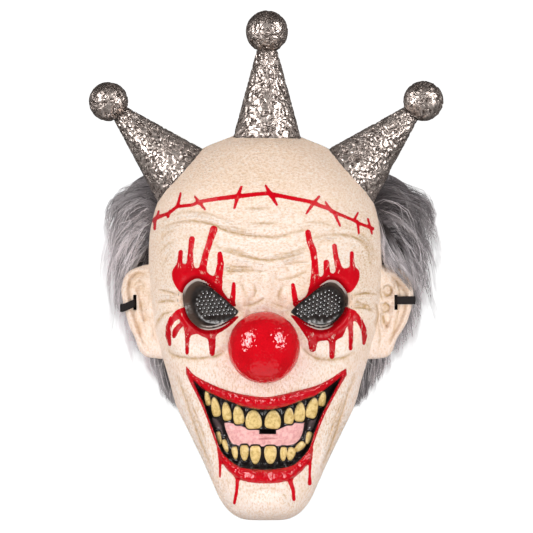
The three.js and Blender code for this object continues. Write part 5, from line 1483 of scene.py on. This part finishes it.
def strand_path(lock, side, root_z, rim, crown):
    """Path of one strand of a lock from its root at a height."""
    reach, drop, lift, behind, thick = lock_sizes(root_z)
    reach *= HAIR_SPREAD[side] * lock.reach * RNG.uniform(0.96, 1.04) * lock.longer
    drop *= lock.drop * RNG.uniform(0.88, 1.08) * lock.longer
    lift *= 1 - 0.75 * crown
    reach *= 1 - 0.10 * crown
    drop *= 1 - 0.45 * crown
    if root_z < 0:
        thick *= 0.75
        outside = max(reach + 0.6 * lock.side * thick, 0)
        most = root_z - HAIR_LOWEST - 1.4 * outside + (6 if lock.loose else 0) + RNG.uniform(-4, 3)
        drop = max(min(drop, most), 6)
    y = max(rim + behind + lock.y + RNG.normal(0, 0.9) - 6.0 * (1 - lock.reach), rim + 1.5)
    lift += lock.lift * (1 - 0.6 * crown)
    path = lock_path(root_z, reach, drop, lift, y, 2, lock.flare - (lock.flare + 0.6) * crown)
    share = np.linspace(0, 1, len(path))
    inward = np.cross((0.0, 1.0, 0.0), np.gradient(path, axis=0))
    inward /= np.linalg.norm(inward, axis=1, keepdims=True) + 1e-9
    aside = (lock.side + RNG.normal(0, 0.055)) * thick * smoothstep(share, 0, 0.4)
    path = path - inward * (aside * np.sqrt(1 - 0.7 * share ** 2))[:, None]
    path[:, 1] += RNG.normal(0, 0.8) * share
    path[:, 0] += RNG.normal(0, 0.7) * share + 1.4 * np.sin(lock.wave + 5.5 * share) * share
    return path


def strand(lock, side):
    """Path, radius and tone of one strand of a lock; the thickest pale ones are drawn to the front."""
    root_z = float(np.clip(lock.z + RNG.normal(0, 1.1), -50, 79))
    rim = float(section_at_height(root_z)[3])
    crown = float(smoothstep(root_z, CROWN_FROM, CROWN_TO))
    path = strand_path(lock, side, root_z, rim, crown)
    radius = RNG.uniform(0.11, 0.17) if lock.loose else RNG.uniform(0.15, 0.26)
    tone = np.clip(0.9 * lock.tone + 0.14 * RNG.uniform() + (0.4 if lock.loose else 0.0), 0, 1)
    low = 1 - float(smoothstep(root_z, -26, -6))
    paler = 0.4 * float(smoothstep(-root_z, -45, 0))
    tone = min(tone * HAIR_TONE[side] * (1 + paler), 1.0) * (1 - 0.55 * crown) * (1 - 0.62 * low)
    if RNG.uniform() < PALE_STRANDS * (1 - crown) * (1 - 0.8 * low):
        radius, tone = RNG.uniform(0.24, 0.34), 1.0
        if radius > 0.32:
            path[:, 1] -= 0.9 * (path[:, 1] - rim - 1.0) * smoothstep(np.linspace(0, 1, len(path)), 0, 0.3)
    return path, radius, tone


def hair(side, layer, material):
    """Tapered strands in narrow locks that fill the side hair, one joined mesh."""
    strands = []
    for _ in range(LOCKS_PER_PIECE):
        lock = random_lock()
        strands += [strand(lock, side) for _ in range(STRANDS_PER_LOCK)]
    obj = strand_mesh(f"hair_{side}_{layer}", strands, SIGN[side])
    return place(obj, f"hair_{side}", material, replaces=layer == 1)


def stage_plane(name, material):
    """Square of the floor or backdrop, seen by the camera alone."""
    size, location, tilt = STAGE[name]
    bpy.ops.mesh.primitive_plane_add(size=size, location=location, rotation=(math.radians(tilt), 0, 0))
    obj = bpy.context.object
    obj.name = name
    obj.data.materials.append(material)
    obj.visible_glossy = obj.visible_diffuse = obj.visible_shadow = False


def stage():
    """Faint even light all round, a pale floor and a white backdrop."""
    bpy.context.scene.view_settings.view_transform = "Standard"
    world = bpy.data.worlds.new("studio")
    world.use_nodes = True
    world.node_tree.nodes["Background"].inputs["Color"].default_value = STUDIO_LIGHT
    world.node_tree.nodes["Background"].inputs["Strength"].default_value = STUDIO_STRENGTH
    bpy.context.scene.world = world
    n = Nodes("pale_floor")
    floor = n.finish(n.mix(n.band(n.noise(6.0), 0.3, 0.7), (0.60, 0.60, 0.60), (0.64, 0.64, 0.64)), 0.8)
    n = Nodes("white_backdrop")
    backdrop = n.finish((0.9, 0.9, 0.9), 0.9, emission_color=(1.0, 1.0, 1.0), emission_strength=1.0)
    stage_plane("floor", floor)
    stage_plane("backdrop", backdrop)


def softbox(name, azimuth, elevation, distance, width, height, watts, lit):
    """Area light aimed at the mask, either for surfaces or for their gloss."""
    light = bpy.data.lights.new(name, "AREA")
    light.shape = "RECTANGLE"
    light.size, light.size_y, light.energy = width, height, watts
    obj = bpy.data.objects.new(name, light)
    a, e = math.radians(azimuth), math.radians(elevation)
    way = Vector((math.sin(a) * math.cos(e), -math.cos(a) * math.cos(e), math.sin(e)))
    obj.location = LIGHT_TARGET + distance * way
    obj.rotation_euler = (LIGHT_TARGET - obj.location).to_track_quat("-Z", "Y").to_euler()
    bpy.context.scene.collection.objects.link(obj)
    obj.visible_camera = False
    obj.visible_diffuse = lit == "surfaces"
    obj.visible_glossy = lit == "gloss"


def camera():
    """Long lens straight in front, as in the picture."""
    lens = bpy.data.cameras.new("camera")
    lens.sensor_width = 36.0
    lens.lens = lens.sensor_width * VIEW_DISTANCE / VIEW_WIDTH
    lens.clip_end = 50.0
    obj = bpy.data.objects.new("camera", lens)
    obj.location = (VIEW_X * MM, -VIEW_DISTANCE * MM, VIEW_Z * MM)
    obj.rotation_euler = (math.pi / 2, 0, 0)
    bpy.context.scene.collection.objects.link(obj)
    bpy.context.scene.camera = obj


stage()
for name, settings in LIGHTS.items():
    softbox(name, *settings)
camera()
face = face_skin()
SKIN_PAINT = face.data.materials[0]
EYE_PAINT = eye_material()
SILVER = silver_material()
HAIR = hair_material()
SHADED_HAIR_MASS = shaded_hair_mass_material()
for side in ("left", "right"):
    ear(side, SKIN_PAINT)
    eye_cup(side, EYE_PAINT)
    shaded_hair_mass(side, SHADED_HAIR_MASS)
    for layer in (1, 2):
        hair(side, layer, HAIR)
hair_over_ear(HAIR)
mouth_pit()
ball_nose()
for row in HORNS:
    horn(row, SILVER)
    horn_ball(row, SILVER)
band = strap()
for side in ("left", "right"):
    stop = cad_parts[f"strap_stop_{side}"]
    stop.data.materials.clear()
    stop.data.materials.append(band.data.materials[0])
